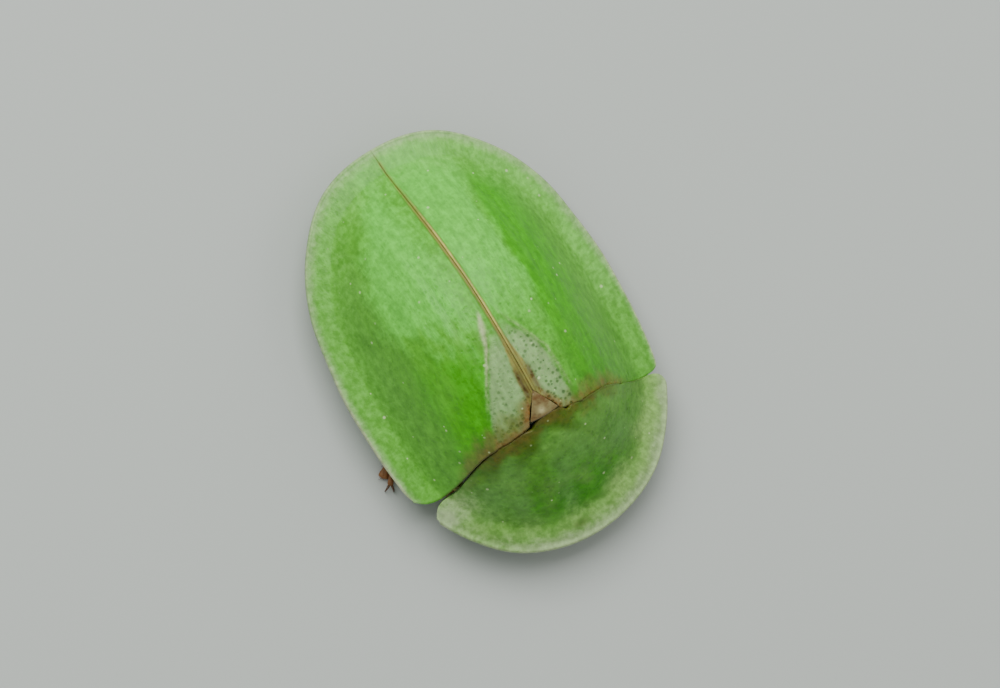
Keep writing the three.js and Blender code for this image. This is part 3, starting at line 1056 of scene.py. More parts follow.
@dataclass
class WingCase:
    """One wing case, with its seam bead, rim bead and the zones of its colouring."""

    side: Side
    seam_gap: float = 0.003
    front_gap: float = 0.006
    bead_width: float = 0.045
    bead_rise: float = 0.014
    rim_bead: float = 0.05
    scutellum_half: float = 0.25
    scutellum_base: float = 4.95
    scutellum_tip: float = 4.55
    thickness: float = 0.09
    columns: int = 150
    rows: int = 220
    front_steps: int = 24
    front_reach: float = 0.35
    tail_gap: float = 0.005
    groove_depth: float = 0.006
    rim_rise: float = 0.018
    gutter_depth: float = 0.015
    patch_depth: float = 0.055
    ridge_rise: float = 0.03
    rib_rise: float = 0.012
    ribs_turn_per_mm: float = 19.0
    wrinkle_rise: float = 0.012
    dimple_rise: float = 0.014
    uneven_rise: float = 0.02
    front: Path = field(init=False)

    def __post_init__(self) -> None:
        """Lays out the front edge once."""
        self.front = self.front_path()

    @property
    def is_right(self) -> bool:
        """Whether this is the right wing case."""
        return self.side is Side.RIGHT

    @property
    def shoulder(self) -> tuple[float, tuple[float, float], tuple[float, float]]:
        """Half width where the shoulder's bend starts, the point it is pulled to, and its end.

        Returns:
            The half width and the two plan points.
        """
        if self.is_right:
            return 1.88, (2.31, 5.44), (2.37, 5.05)
        return 2.1, (2.26, 5.44), (2.323, 5.312)

    def front_path(self) -> Path:
        """Front edge: beside the scutellum, along the seam and round the shoulder.

        Returns:
            The path, from the middle seam outward.
        """
        gap = self.front_gap
        points = [
            (self.seam_gap, TAIL_Y - self.scutellum_tip + 3 * gap),
            (self.scutellum_half + gap, TAIL_Y - self.scutellum_base + gap),
        ]
        start = self.scutellum_half + 0.05
        last, corner, end = self.shoulder
        for i in range(self.front_steps + 1):
            x = start + (last - start) * i / self.front_steps
            points.append((x, TAIL_Y - seam_at(x) + gap / 2))
        edge = WINGS.rim_point(math.atan2(end[0], TAIL_Y - end[1] - CENTRE_Y), 1)
        return Path(points + bent_corner(points[-1], (corner[0], TAIL_Y - corner[1]), edge))

    def plan_point(self, across: float, along: float) -> tuple[float, float]:
        """Plan point of the left case at the shares across and along.

        Args:
            across: Share of the way from the middle seam to the rim.
            along: Share of the way from the front edge to the tail.

        Returns:
            The plan point in millimetres.
        """
        end_x, end_y = self.front.points[-1]
        end_angle = math.atan2(end_x, end_y - CENTRE_Y)
        rim_x, rim_y = WINGS.rim_point(end_angle * (1 - along), 1)
        rim_x = max(rim_x, self.seam_gap)
        seam_y = self.front.points[0][1] * (1 - along) + (TAIL_Y - self.tail_gap) * along
        x = (1 - across) * self.seam_gap + across * rim_x
        y = (1 - across) * seam_y + across * rim_y
        pull = max(1 - along / self.front_reach, 0.0) ** 2
        front_x, front_y = self.front.at(across)
        start_x, start_y = WINGS.rim_point(end_angle, 1)
        chord_x = (1 - across) * self.seam_gap + across * start_x
        chord_y = (1 - across) * self.front.points[0][1] + across * start_y
        x, y = x + pull * (front_x - chord_x), y + pull * (front_y - chord_y)
        place = WINGS.place(x, y)
        shrink = min(place.radius / place.distance, 1.0)
        return x * shrink, CENTRE_Y + (y - CENTRE_Y) * shrink

    def patch_edge(self, forward: float) -> float:
        """Half width of the sunken dotted patch behind the scutellum.

        Args:
            forward: Distance in front of the tail.

        Returns:
            The half width.
        """
        if self.is_right:
            line = ((3.0, 0.1), (3.55, 0.27), (4.25, 0.66), (4.75, 0.86), (5.1, 0.9))
            return steps_between(line, forward)
        return steps_between(((3.2, 0.12), (3.6, 0.32), (4.04, 0.52), (4.78, 0.58), (5.1, 0.58)), forward)

    def relief(self, x: float, forward: float, inward: float) -> float:
        """Height added to the plain dome.

        Args:
            x: Sideways place in millimetres.
            forward: Distance in front of the tail.
            inward: Distance inward from the outline.

        Returns:
            The height in millimetres.
        """
        bead = self.bead_rise * smooth(self.bead_width + 0.02, self.bead_width - 0.03, x)
        groove = -self.groove_depth * bell(x, self.bead_width + 0.03, 0.02) * smooth(0.6, 1.4, forward)
        rim = self.rim_rise * bell(inward, 0.02, self.rim_bead / 2)
        gutter = -self.gutter_depth * bell(inward, self.rim_bead * 1.8, 0.05)
        edge = self.patch_edge(forward)
        sunk = -self.patch_depth * smooth(edge + 0.08, edge - 0.12, x)
        sunk *= smooth(3.0, 3.8, forward)
        sunk *= smooth(0.06, 0.16, x)
        ridge = self.ridge_rise * bell(x, edge + 0.05, 0.06) * smooth(2.9, 3.4, forward)
        rib = self.rib_rise * math.sin(x * self.ribs_turn_per_mm + 0.7)
        rib *= smooth(0.3, 0.7, x)
        rib *= smooth(2.0, 1.4, x)
        rib *= smooth(0.5, 1.5, forward) * smooth(0.6, 1.0, inward)
        dimples = self.dimple_rise * noise.noise(Vector((x * 2.6, forward * 2.6, 3.0 * self.side.value)))
        uneven = self.uneven_rise * noise.noise(Vector((x * 1.1, forward * 1.1, 9.0 * self.side.value)))
        wrinkle = self.wrinkle_rise * noise.noise(Vector((x * 4.0, forward * 13.0, 2.0)))
        wrinkle *= (-sunk / self.patch_depth) * float(self.is_right)
        body = (groove + sunk + ridge + rib + uneven + wrinkle) * smooth(0.05, 0.5, inward)
        return bead * smooth(0.1, 0.5, forward) + body + rim + gutter + dimples * smooth(0.1, 0.5, inward)

    def surface(self, across: float, along: float) -> Vector:
        """Point of the outer face of this case.

        Args:
            across: Share of the way from the middle seam to the rim.
            along: Share of the way from the front edge to the tail.

        Returns:
            The point in millimetres.
        """
        x, y = self.plan_point(across, along)
        place = WINGS.place(x, y)
        z = WINGS.height(place) + self.relief(x, TAIL_Y - y, place.inward)
        return Vector((self.side.value * x, y, z))

    def disc_edge(self, forward: float) -> float:
        """Half width where the pale disc, a painted reflection, ends.

        Args:
            forward: Distance in front of the tail.

        Returns:
            The half width.
        """
        if self.is_right:
            line = ((0.6, 0.5), (1.07, 0.85), (1.43, 1.15), (2.55, 1.44), (3.6, 1.1))
            return steps_between(line, forward)
        line = ((0.6, 1.0), (0.99, 1.05), (1.95, 0.9), (3.16, 0.84), (3.9, 0.76), (5.0, 0.7))
        return steps_between(line, forward)

    def disc(self, spot: Spot) -> float:
        """Pale, bluish middle of the case: painted reflection of the sky on the top of the dome.

        Args:
            spot: Place on the plate.

        Returns:
            Strength of the mask.
        """
        edge = self.disc_edge(spot.forward) + ragged(spot, 5.0, 0.14, 1.0)
        if self.is_right:
            fade = smooth(3.75, 2.75, spot.forward + ragged(spot, 9.0, 0.7, 4.0) + 0.25 * spot.x)
            shaded = 1 - 0.6 * smooth(0.5, 0.12, spot.x)
            strength = max(fade * shaded, 0.25 * smooth(0.45, 0.2, spot.x))
            return smooth(edge + 0.22, edge - 0.22, spot.x) * strength
        soft = 0.08 + 0.14 * smooth(2.0, 0.8, spot.forward) + 0.1 * smooth(3.4, 4.2, spot.forward)
        return smooth(edge + soft, edge - soft, spot.x) * (1 - 0.75 * smooth(2.4, 4.0, spot.forward))

    def deep(self, spot: Spot) -> float:
        """Saturated green beside the disc.

        Args:
            spot: Place on the plate.

        Returns:
            Strength of the mask.
        """
        if self.is_right:
            inner = smooth(3.1, 3.9, spot.forward + ragged(spot, 6.0, 0.4, 2.0)) * smooth(0.3, 0.6, spot.x)
            return inner * smooth(1.7, 0.9, spot.x + ragged(spot, 4.0, 0.3, 5.0))
        start = self.disc_edge(spot.forward) + 0.05
        band = smooth(start - 0.14, start + 0.06, spot.x) * smooth(start + 1.0, start + 0.35, spot.x)
        return band * smooth(0.6, 1.5, spot.forward) * (1 - 0.35 * smooth(3.2, 4.2, spot.forward))

    def slope(self, spot: Spot) -> float:
        """Darker green of the outer slope and the left case's front: painted shade, away from the light.

        Args:
            spot: Place on the plate.

        Returns:
            Strength of the mask.
        """
        reach = smooth(0.35, 0.75, spot.inward) * smooth(1.35, 0.85, spot.inward)
        front = smooth(2.6, 4.2, spot.forward) * smooth(0.5, 0.9, spot.x)
        return reach * smooth(0.9, 1.8, spot.forward) if self.is_right else max(0.3 * reach, 0.8 * front)

    def margin(self, spot: Spot) -> float:
        """Greyed flat margin: its own paler colour, with painted light making it stronger on the lit left
        side and painted shade weakening it towards the front.

        Args:
            spot: Place on the plate.

        Returns:
            Strength of the mask.
        """
        wide = 0.5 + ragged(spot, 3.0, 0.12, 6.0)
        # painted light and shade: stronger on the lit left side, weaker towards the front
        if self.is_right:
            strength = 0.58 - 0.2 * smooth(3.4, 4.8, spot.forward)
        else:
            strength = 0.85 - 0.55 * smooth(3.5, 4.5, spot.forward)
        return smooth(wide + 0.4, wide - 0.4, spot.inward) * strength

    def rim(self, spot: Spot) -> float:
        """Pinkish grey border.

        Args:
            spot: Place on the plate.

        Returns:
            Strength of the mask.
        """
        if self.is_right:
            width = 0.16 + 0.1 * smooth(2.2, 0.8, spot.forward)
            return smooth(width, 0.01, spot.inward) * 0.75
        width = 0.24 - 0.12 * smooth(2.5, 4.3, spot.forward)
        return smooth(width, 0.01, spot.inward) * (0.85 - 0.35 * smooth(3.5, 4.5, spot.forward))

    def edge_line(self, spot: Spot) -> float:
        """Pale bright edge."""
        return smooth(0.045, 0.012, spot.inward) * (0.25 + 0.6 * smooth(2.0, 3.6, spot.forward))

    def patch(self, spot: Spot) -> float:
        """Grey-green sunken patch."""
        edge = self.patch_edge(spot.forward) + ragged(spot, 8.0, 0.04, 7.0)
        return smooth(edge + 0.03, edge - 0.07, spot.x) * smooth(3.15, 3.8, spot.forward)

    def dotted(self, spot: Spot) -> float:
        """Strength of the dark dots.

        Args:
            spot: Place on the plate.

        Returns:
            Strength of the mask.
        """
        patch = self.patch(spot) * smooth(self.bead_width, self.bead_width + 0.06, spot.x)
        patch *= (0.45 if self.is_right else 0.9) * (1 + ragged(spot, 3.5, 0.9, 12.0, 1.0))
        near = smooth(1.1, 0.4, spot.x) * smooth(1.2, 2.6, spot.forward)
        return min(max(patch, 0.14 * near), 1.0)

    def brown(self, spot: Spot) -> float:
        """Olive brown band along the front edge.

        Args:
            spot: Place on the plate.

        Returns:
            Strength of the mask.
        """
        behind = seam_at(spot.x) - spot.forward + ragged(spot, 7.0, 0.16, 8.0)
        if self.is_right:
            depth = 0.4 * smooth(1.8, 0.9, spot.x)
            return smooth(depth + 0.16, depth - 0.2, behind) * smooth(1.8, 1.3, spot.x) * 0.95
        depth = 0.1 + 0.22 * bell(spot.x, 0.95, 0.45)
        return smooth(depth + 0.12, depth - 0.1, behind) * smooth(1.75, 1.2, spot.x) * 0.7

    def rust(self, spot: Spot) -> float:
        """Rust red along the very edge and beside the scutellum.

        Args:
            spot: Place on the plate.

        Returns:
            Strength of the mask.
        """
        behind = seam_at(spot.x) - spot.forward + ragged(spot, 11.0, 0.07, 3.0)
        length = 1.05 if self.is_right else 1.5
        strength = 0.8 if self.is_right else 0.5
        edge = strength * smooth(0.2, 0.02, behind) * smooth(length + 0.3, length - 0.3, spot.x)
        flank = 0.25 * max(min((spot.forward - 4.5) / 0.45, 1.0), 0.0)
        reach = 0.26 if self.is_right else 0.18
        beside = smooth(reach, 0.03, abs(spot.x - flank)) * smooth(4.45, 4.75, spot.forward)
        return max(edge, beside)

    def streak(self, spot: Spot) -> float:
        """Pale ridge that bounds the patch.

        Args:
            spot: Place on the plate.

        Returns:
            Strength of the mask.
        """
        width = 0.026
        if self.is_right:
            width += 0.03 * bell(spot.forward, 3.35, 0.22)
        line = bell(spot.x, self.patch_edge(spot.forward) + 0.03, width)
        if self.is_right:
            return line * smooth(2.95, 3.15, spot.forward) * smooth(4.75, 3.7, spot.forward) * 0.85
        return line * smooth(3.0, 3.5, spot.forward) * smooth(4.95, 4.7, spot.forward) * 0.35

    def seam(self, spot: Spot) -> float:
        """Tan bead along the middle seam.

        Args:
            spot: Place on the plate.

        Returns:
            Strength of the mask.
        """
        width = self.bead_width * (1 - 0.25 * smooth(1.6, 0.5, spot.forward))
        width += 0.1 * smooth(3.4, 4.4, spot.forward)
        fade = 0.4 + 0.5 * smooth(0.5, 1.5, spot.forward)
        return smooth(width + 0.012, width - 0.02, spot.x) * fade * smooth(0.05, 0.3, spot.forward)

    def seam_glow(self, spot: Spot) -> float:
        """Bright golden crest of the bead: a painted highlight, strong on the lit left case and faint on
        the right.

        Args:
            spot: Place on the plate.

        Returns:
            Strength of the mask.
        """
        bright = 0.15 if self.is_right else 0.95
        crest = bell(spot.x, 0.018, 0.014)
        return crest * smooth(1.0, 1.6, spot.forward) * smooth(4.1, 3.2, spot.forward) * bright

    def seam_line(self, spot: Spot) -> float:
        """Brown lines beside the bead and at the seam itself.

        Args:
            spot: Place on the plate.

        Returns:
            Strength of the mask.
        """
        outer = 0.5 * bell(spot.x, self.bead_width, 0.01) * smooth(0.3, 1.2, spot.forward)
        inner = (0.7 if self.is_right else 0.1) * smooth(0.026, 0.008, spot.x)
        middle = 0.1 if self.is_right else 0.12
        dark = 0.95 * bell(spot.x, middle, 0.045)
        dark *= smooth(4.0, 4.25, spot.forward)
        dark *= smooth(4.72, 4.5, spot.forward)
        front = seam_at(spot.x) - spot.forward
        edge = 0.6 * smooth(0.035, 0.005, front) * smooth(2.2, 1.7, spot.x)
        return min(outer + inner * smooth(0.02, 0.3, spot.forward) + dark + edge, 1.0)

    def pitted(self, spot: Spot) -> float:
        """Where the pits show: not on the beads."""
        return smooth(0.1, 0.3, spot.inward) * smooth(0.08, 0.14, spot.x)

    def zones(self) -> Zones:
        """Masks of the colouring by name."""
        names = (
            "disc", "deep", "slope", "margin", "rim", "edge_line", "patch", "dotted", "brown", "rust",
            "streak", "seam", "seam_glow", "seam_line", "pitted",
        )
        return {name: getattr(self, name) for name in names}

    def build(self, material: bpy.types.Material) -> None:
        """Makes the wing case.

        Args:
            material: Material of the piece.
        """
        form = sheet_grid(self.columns, self.rows, self.surface)
        paint_plate(form, WINGS, abs, self.zones())
        node = f"elytron_{self.side.word}"
        finish_piece(f"{node}_skin", form, material, [node], self.thickness)


@dataclass
class Pronotum:
    """Rounded plate over the head."""

    gap: float = 0.004
    corner_start: float = 1.86
    corner: tuple[float, float] = (2.2, 5.47)
    corner_end: tuple[float, float] = (2.18, 5.78)
    left_corner: tuple[float, float] = (2.3, 5.44)
    openings: tuple[tuple[float, float, float], ...] = (
        (-0.36, 0.05, 0.08), (0.31, 0.07, 0.06), (-1.75, 0.05, 0.16), (1.42, 0.035, 0.05),
    )
    thickness: float = 0.09
    columns: int = 220
    rows: int = 110
    hind_steps: int = 60
    rim_rise: float = 0.016
    gutter_depth: float = 0.012
    uneven_rise: float = 0.03
    dimple_rise: float = 0.014
    hind: Path = field(init=False)
    end_angle: float = field(init=False)

    def __post_init__(self) -> None:
        """Lays out the hind edge once."""
        self.hind = self.hind_path()
        end_x, end_forward = self.corner_end
        self.end_angle = math.atan2(end_x, CENTRE_Y - (TAIL_Y - end_forward))

    def gap_at(self, x: float) -> float:
        """Gap to the wing cases, wider at a few openings."""
        return self.gap + sum(wide * bell(x, place, reach) for place, wide, reach in self.openings)

    def hind_path(self) -> Path:
        """Hind edge from the right corner to the left one.

        Returns:
            The path.
        """
        points = []
        for i in range(-self.hind_steps, self.hind_steps + 1):
            x = self.corner_start * i / self.hind_steps
            points.append((x, TAIL_Y - seam_at(abs(x)) - self.gap_at(x)))
        corner = (self.corner[0], TAIL_Y - self.corner[1])
        left_corner = (self.left_corner[0], TAIL_Y - self.left_corner[1])
        end = (self.corner_end[0], TAIL_Y - self.corner_end[1])
        left = bent_corner(points[-1], left_corner, end)
        right = [(-x, y) for x, y in reversed(bent_corner((self.corner_start, points[0][1]), corner, end))]
        return Path([(x + COLLAR.shift, y) for x, y in right + points + left])

    def surface(self, across: float, along: float) -> Vector:
        """Point of the outer face.

        Args:
            across: Share of the way from the right corner to the left one.
            along: Share of the way from the front to the hind edge.

        Returns:
            The point in millimetres.
        """
        hind_x, hind_y = self.hind.at(across)
        share = 2 * across - 1
        rim_x, rim_y = COLLAR.rim_point(abs(share) * self.end_angle, 1 if share > 0 else -1)
        x = rim_x + (hind_x - rim_x) * along
        y = rim_y + (hind_y - rim_y) * along
        place = COLLAR.place(x, y)
        return Vector((x, y, COLLAR.height(place) + self.relief(x, y, place.inward)))

    def relief(self, x: float, y: float, inward: float) -> float:
        """Height added to the plain dome.

        Args:
            x: Sideways place in millimetres.
            y: Place along the body in millimetres.
            inward: Distance inward from the outline.

        Returns:
            The height in millimetres.
        """
        rim = self.rim_rise * bell(inward, 0.02, 0.03)
        gutter = -self.gutter_depth * bell(inward, 0.1, 0.05)
        uneven = self.uneven_rise * noise.noise(Vector((x * 1.3, y * 1.3, 5.0))) * smooth(0.1, 0.6, inward)
        dimples = self.dimple_rise * noise.noise(Vector((x * 3.2, y * 3.2, 7.0))) * smooth(0, 0.3, inward)
        return rim + gutter + uneven + dimples

    def disc(self, spot: Spot) -> float:
        """Paler, greyer shoulders of the plate.

        Args:
            spot: Place on the plate.

        Returns:
            Strength of the mask.
        """
        left = bell(spot.x, 1.2, 0.5) * bell(spot.forward, 5.8, 0.55)
        right = bell(spot.x, -1.35, 0.45) * bell(spot.forward, 5.9, 0.45)
        middle = 0.5 * bell(spot.x, 0.25, 0.5) * bell(spot.forward, 5.8, 0.3)
        return min(max(0.4 * left + 0.8 * right + middle + ragged(spot, 2.6, 0.9, 2.0, 1.0), 0.0), 1.0)

    def deep(self, spot: Spot) -> float:
        """Darkest green, in front of the middle."""
        blotch = bell(spot.x, -0.1, 0.8) * bell(spot.forward, 6.4, 0.42)
        return min(max(blotch * (1.0 + ragged(spot, 3.0, 1.8, 4.0, 1.0)), 0.0), 1.0)

    def dusk(self, spot: Spot) -> float:
        """Dark brownish green along the hind edge."""
        ahead = spot.forward - seam_at(abs(spot.x)) + ragged(spot, 3.0, 0.35, 6.0, 1.0)
        return smooth(0.5, 0.05, ahead) * smooth(1.7, 0.9, -spot.x) * smooth(1.1, 0.3, spot.x)

    def margin(self, spot: Spot) -> float:
        """Greyed flat margin, paler on the left: its own colour, plus painted light on the lit left side.
        """
        wide = 0.5 + ragged(spot, 2.4, 0.25, 6.0, 1.0)
        return smooth(wide + 0.25, wide - 0.25, spot.inward) * (0.5 + 0.45 * smooth(-0.5, 1.2, spot.x))

    def rim(self, spot: Spot) -> float:
        """Pinkish grey border, wide at the right hind corner, with painted shade dulling it at the right
        front.

        Args:
            spot: Place on the plate.

        Returns:
            Strength of the mask.
        """
        corner = bell(spot.x, -2.05, 0.4) * bell(spot.forward, 5.7, 0.24)
        width = 0.3 + ragged(spot, 3.0, 0.16, 9.0, 1.0)
        # painted shade: the rim is duller at the right front, away from the light
        right_front_shade = 0.65 * smooth(-0.9, -1.6, spot.x) * smooth(5.7, 6.0, spot.forward)
        return min(smooth(width, 0.05, spot.inward) * (0.9 - right_front_shade) + 0.8 * corner, 1.0)

    def edge_line(self, spot: Spot) -> float:
        """Pale bright edge."""
        return smooth(0.045, 0.012, spot.inward) * 0.4

    def brown(self, spot: Spot) -> float:
        """Rust tint along the hind edge.

        Args:
            spot: Place on the plate.

        Returns:
            Strength of the mask.
        """
        ahead = spot.forward - seam_at(abs(spot.x)) + ragged(spot, 5.0, 0.2, 8.0, 1.0)
        right = bell(spot.x, -0.75, 0.6)
        left = bell(spot.x, 0.8, 0.5) * 0.7
        middle = bell(spot.x, 0.0, 0.35)
        return smooth(0.26, 0.0, ahead) * min(right + left + middle, 1.0) * 0.85

    def seam_line(self, spot: Spot) -> float:
        """Dark smudge where the head shows through, and the dark hind edge.

        Args:
            spot: Place on the plate.

        Returns:
            Strength of the mask.
        """
        smudge = 0.4 * bell(spot.x, -0.2, 0.14) * bell(spot.forward, 6.93, 0.07)
        edge = 0.5 * smooth(0.03, 0.01, spot.forward - seam_at(abs(spot.x)))
        return min(smudge + edge * smooth(2.1, 1.6, abs(spot.x)), 1.0)

    def pitted(self, spot: Spot) -> float:
        """Where the pits show."""
        return smooth(0.05, 0.3, spot.inward)

    def dotted(self, spot: Spot) -> float:
        """Strength of the dark dots."""
        return 0.1 * smooth(0.4, 0.8, spot.inward)

    def zones(self) -> Zones:
        """Masks of the colouring by name."""
        names = (
            "disc", "deep", "dusk", "margin", "rim", "edge_line", "brown", "seam_line", "pitted", "dotted",
        )
        return {name: getattr(self, name) for name in names}

    def build(self, material: bpy.types.Material) -> None:
        """Makes the pronotum.

        Args:
            material: Material of the piece.
        """
        form = sheet_grid(self.columns, self.rows, self.surface)
        paint_plate(form, COLLAR, lambda x: x - COLLAR.shift, self.zones())
        finish_piece("pronotum_skin", form, material, ["pronotum"], self.thickness)


@dataclass
class Scutellum:
    """Small triangle between the wing cases and the pronotum."""

    half_width: float = 0.262
    base: float = 4.99
    tip: float = 4.53
    rows: int = 24
    crown: float = 0.035
    sunk: float = 0.008
    thickness: float = 0.12
    pale_spot: tuple[float, float] = (-0.02, 4.9)
    pale_reach: float = 0.06

    def surface(self, across: float, along: float) -> Vector:
        """Point of the plate, narrowing to its tip, slightly crowned.

        Args:
            across: Share of the width from right to left.
            along: Share of the length from the base to the tip.

        Returns:
            The point in millimetres.
        """
        half = self.half_width * (1 - along)
        share = 2 * across - 1
        forward = self.base + (self.tip - self.base) * along + 0.02 * (1 - share**2) * (1 - along)
        x, y = share * half, TAIL_Y - forward
        crown = self.crown * (1 - share**2) * math.sin(math.pi * min(along * 0.8 + 0.25, 1.0))
        return Vector((x, y, WINGS.height(WINGS.place(x, y)) + crown - self.sunk))

    def build(self, material: bpy.types.Material) -> None:
        """Makes the scutellum.

        Args:
            material: Material of the piece.
        """
        form = sheet_grid(self.rows, self.rows, self.surface)
        middle = forward_point(*self.pale_spot, 0)
        paint(form, "pale", lambda p: bell((Vector((p.x, p.y, 0)) - middle).length, 0.0, self.pale_reach))
        finish_piece("scutellum_skin", form, material, ["scutellum"], self.thickness)


@dataclass
class Underside:
    """Body below the shell: abdomen with its plates, hind thorax and prothorax."""

    widest: float = 1.55
    hind_reach: float = 2.83
    front_reach: float = 2.54
    belly_z: float = 0.7
    belly_edge_rise: float = 0.07
    roof_z: float = 0.78
    roof_rise: float = 1.3
    roof_inset: float = 0.85
    roof_clearance: float = 0.1
    collar_start: float = 5.05
    end_roundness: float = 0.12
    end_width: float = 0.3
    columns: int = 64
    rows: int = 48
    abdomen: tuple[float, float] = (3.06, 0.94)
    thorax: tuple[float, float] = (5.02, 3.13)
    neck: tuple[float, float] = (5.98, 5.14)
    plate_edges: tuple[float, ...] = (3.05, 2.35, 1.98, 1.64, 1.3, 0.8)

    def half_width(self, forward: float) -> float:
        """Half width of the body at a distance in front of the tail.

        Args:
            forward: Distance in front of the tail.

        Returns:
            The half width.
        """
        y = TAIL_Y - forward
        reach = self.hind_reach if y > CENTRE_Y else self.front_reach
        share = min(abs(y - CENTRE_Y) / reach, 1.0)
        return self.widest * math.sqrt(max(1 - share**2.4, 0.0))

    def section(
        self, front: float, back: float, belly: Callable[[float, float], float]
    ) -> bmesh.types.BMesh:
        """Rounded slab of body between two distances in front of the tail.

        Args:
            front: Distance in front of the tail of its front end.
            back: Distance in front of the tail of its hind end.
            belly: Extra height of the lower face, from the sideways share and the distance.

        Returns:
            The mesh.
        """
        form = bmesh.new()
        middle, half_length = (front + back) / 2, (front - back) / 2

        def move(point: Vector) -> Vector:
            """Shapes the unit ball into the slab.

            Args:
                point: Point of the unit ball.

            Returns:
                Its new place in millimetres.
            """
            forward = middle - half_length * math.copysign(min(abs(point.y) ** 0.25, 1.0), point.y)
            squash = math.sqrt(max(1 - point.y**2, 1e-9))
            share = max(min(point.x / squash, 1.0), -1.0) if squash > 1e-4 else 0.0
            lift = point.z / squash if squash > 1e-4 else 0.0
            end = min((1 - abs(point.y)) / self.end_roundness, 1.0) ** 0.5
            full = self.end_width + (1 - self.end_width) * end
            width = self.half_width(forward) * full
            plate = COLLAR if forward > self.collar_start else WINGS
            place = plate.place(share * width, TAIL_Y - forward)
            t = (place.distance + self.roof_clearance) / (place.radius - self.roof_inset)
            top = self.roof_z + (self.roof_rise * (1 - t**2.5) if t < 1 else 0.0)
            low = self.belly_z + self.belly_edge_rise * share**2 + belly(share, forward)
            level = low + (top - low) * (lift + 1) / 2
            level = (low + top) / 2 + (level - (low + top) / 2) * full
            return Vector((share * width, TAIL_Y - forward, level))

        add_ball(form, self.columns, self.rows, move)
        return form

    def abdomen_belly(self, share: float, forward: float) -> float:
        """Overlapping plates: each steps down to its hind edge.

        Args:
            share: Sideways share of the body's half width, -1 to 1.
            forward: Distance in front of the tail.

        Returns:
            Height added to the lower face.
        """
        step = 0.0
        for front, back in zip(self.plate_edges, self.plate_edges[1:]):
            if back < forward <= front:
                way = (front - forward) / (front - back)
                step = -0.035 * way + 0.05 * smooth(0.88, 1.0, way)
        return step - 0.03 * (1 - share**2)

    def thorax_belly(self, share: float, forward: float) -> float:
        """Middle line, side seams and the raised plate between the hips.

        Args:
            share: Sideways share of the body's half width, -1 to 1.
            forward: Distance in front of the tail.

        Returns:
            Height added to the lower face.
        """
        line = 0.03 * bell(share, 0.0, 0.02) * smooth(4.3, 4.1, forward)
        sides = 0.04 * bell(abs(share), 0.72, 0.025)
        plate = -0.05 * smooth(0.6, 0.3, abs(share)) * bell(forward, 3.95, 0.35)
        return line + sides + plate

    def prothorax_belly(self, share: float, forward: float) -> float:
        """Raised keel between the front hips."""
        return -0.06 * bell(share, 0.0, 0.12)

    def build(self, body: bpy.types.Material, belly: bpy.types.Material) -> None:
        """Makes the three parts of the body.

        Args:
            body: Cuticle of the thorax.
            belly: Cuticle of the abdomen.
        """
        abdomen = self.section(*self.abdomen, self.abdomen_belly)
        paint(abdomen, "border", lambda p: smooth(0.28, 0.12, self.half_width(TAIL_Y - p.y) - abs(p.x)))
        finish_piece("abdomen_skin", abdomen, belly, ["abdomen"])
        thorax = self.section(*self.thorax, self.thorax_belly)
        finish_piece("pterothorax_skin", thorax, body, ["pterothorax"])
        neck = self.section(*self.neck, self.prothorax_belly)
        finish_piece("prothorax_skin", neck, body, ["prothorax"])


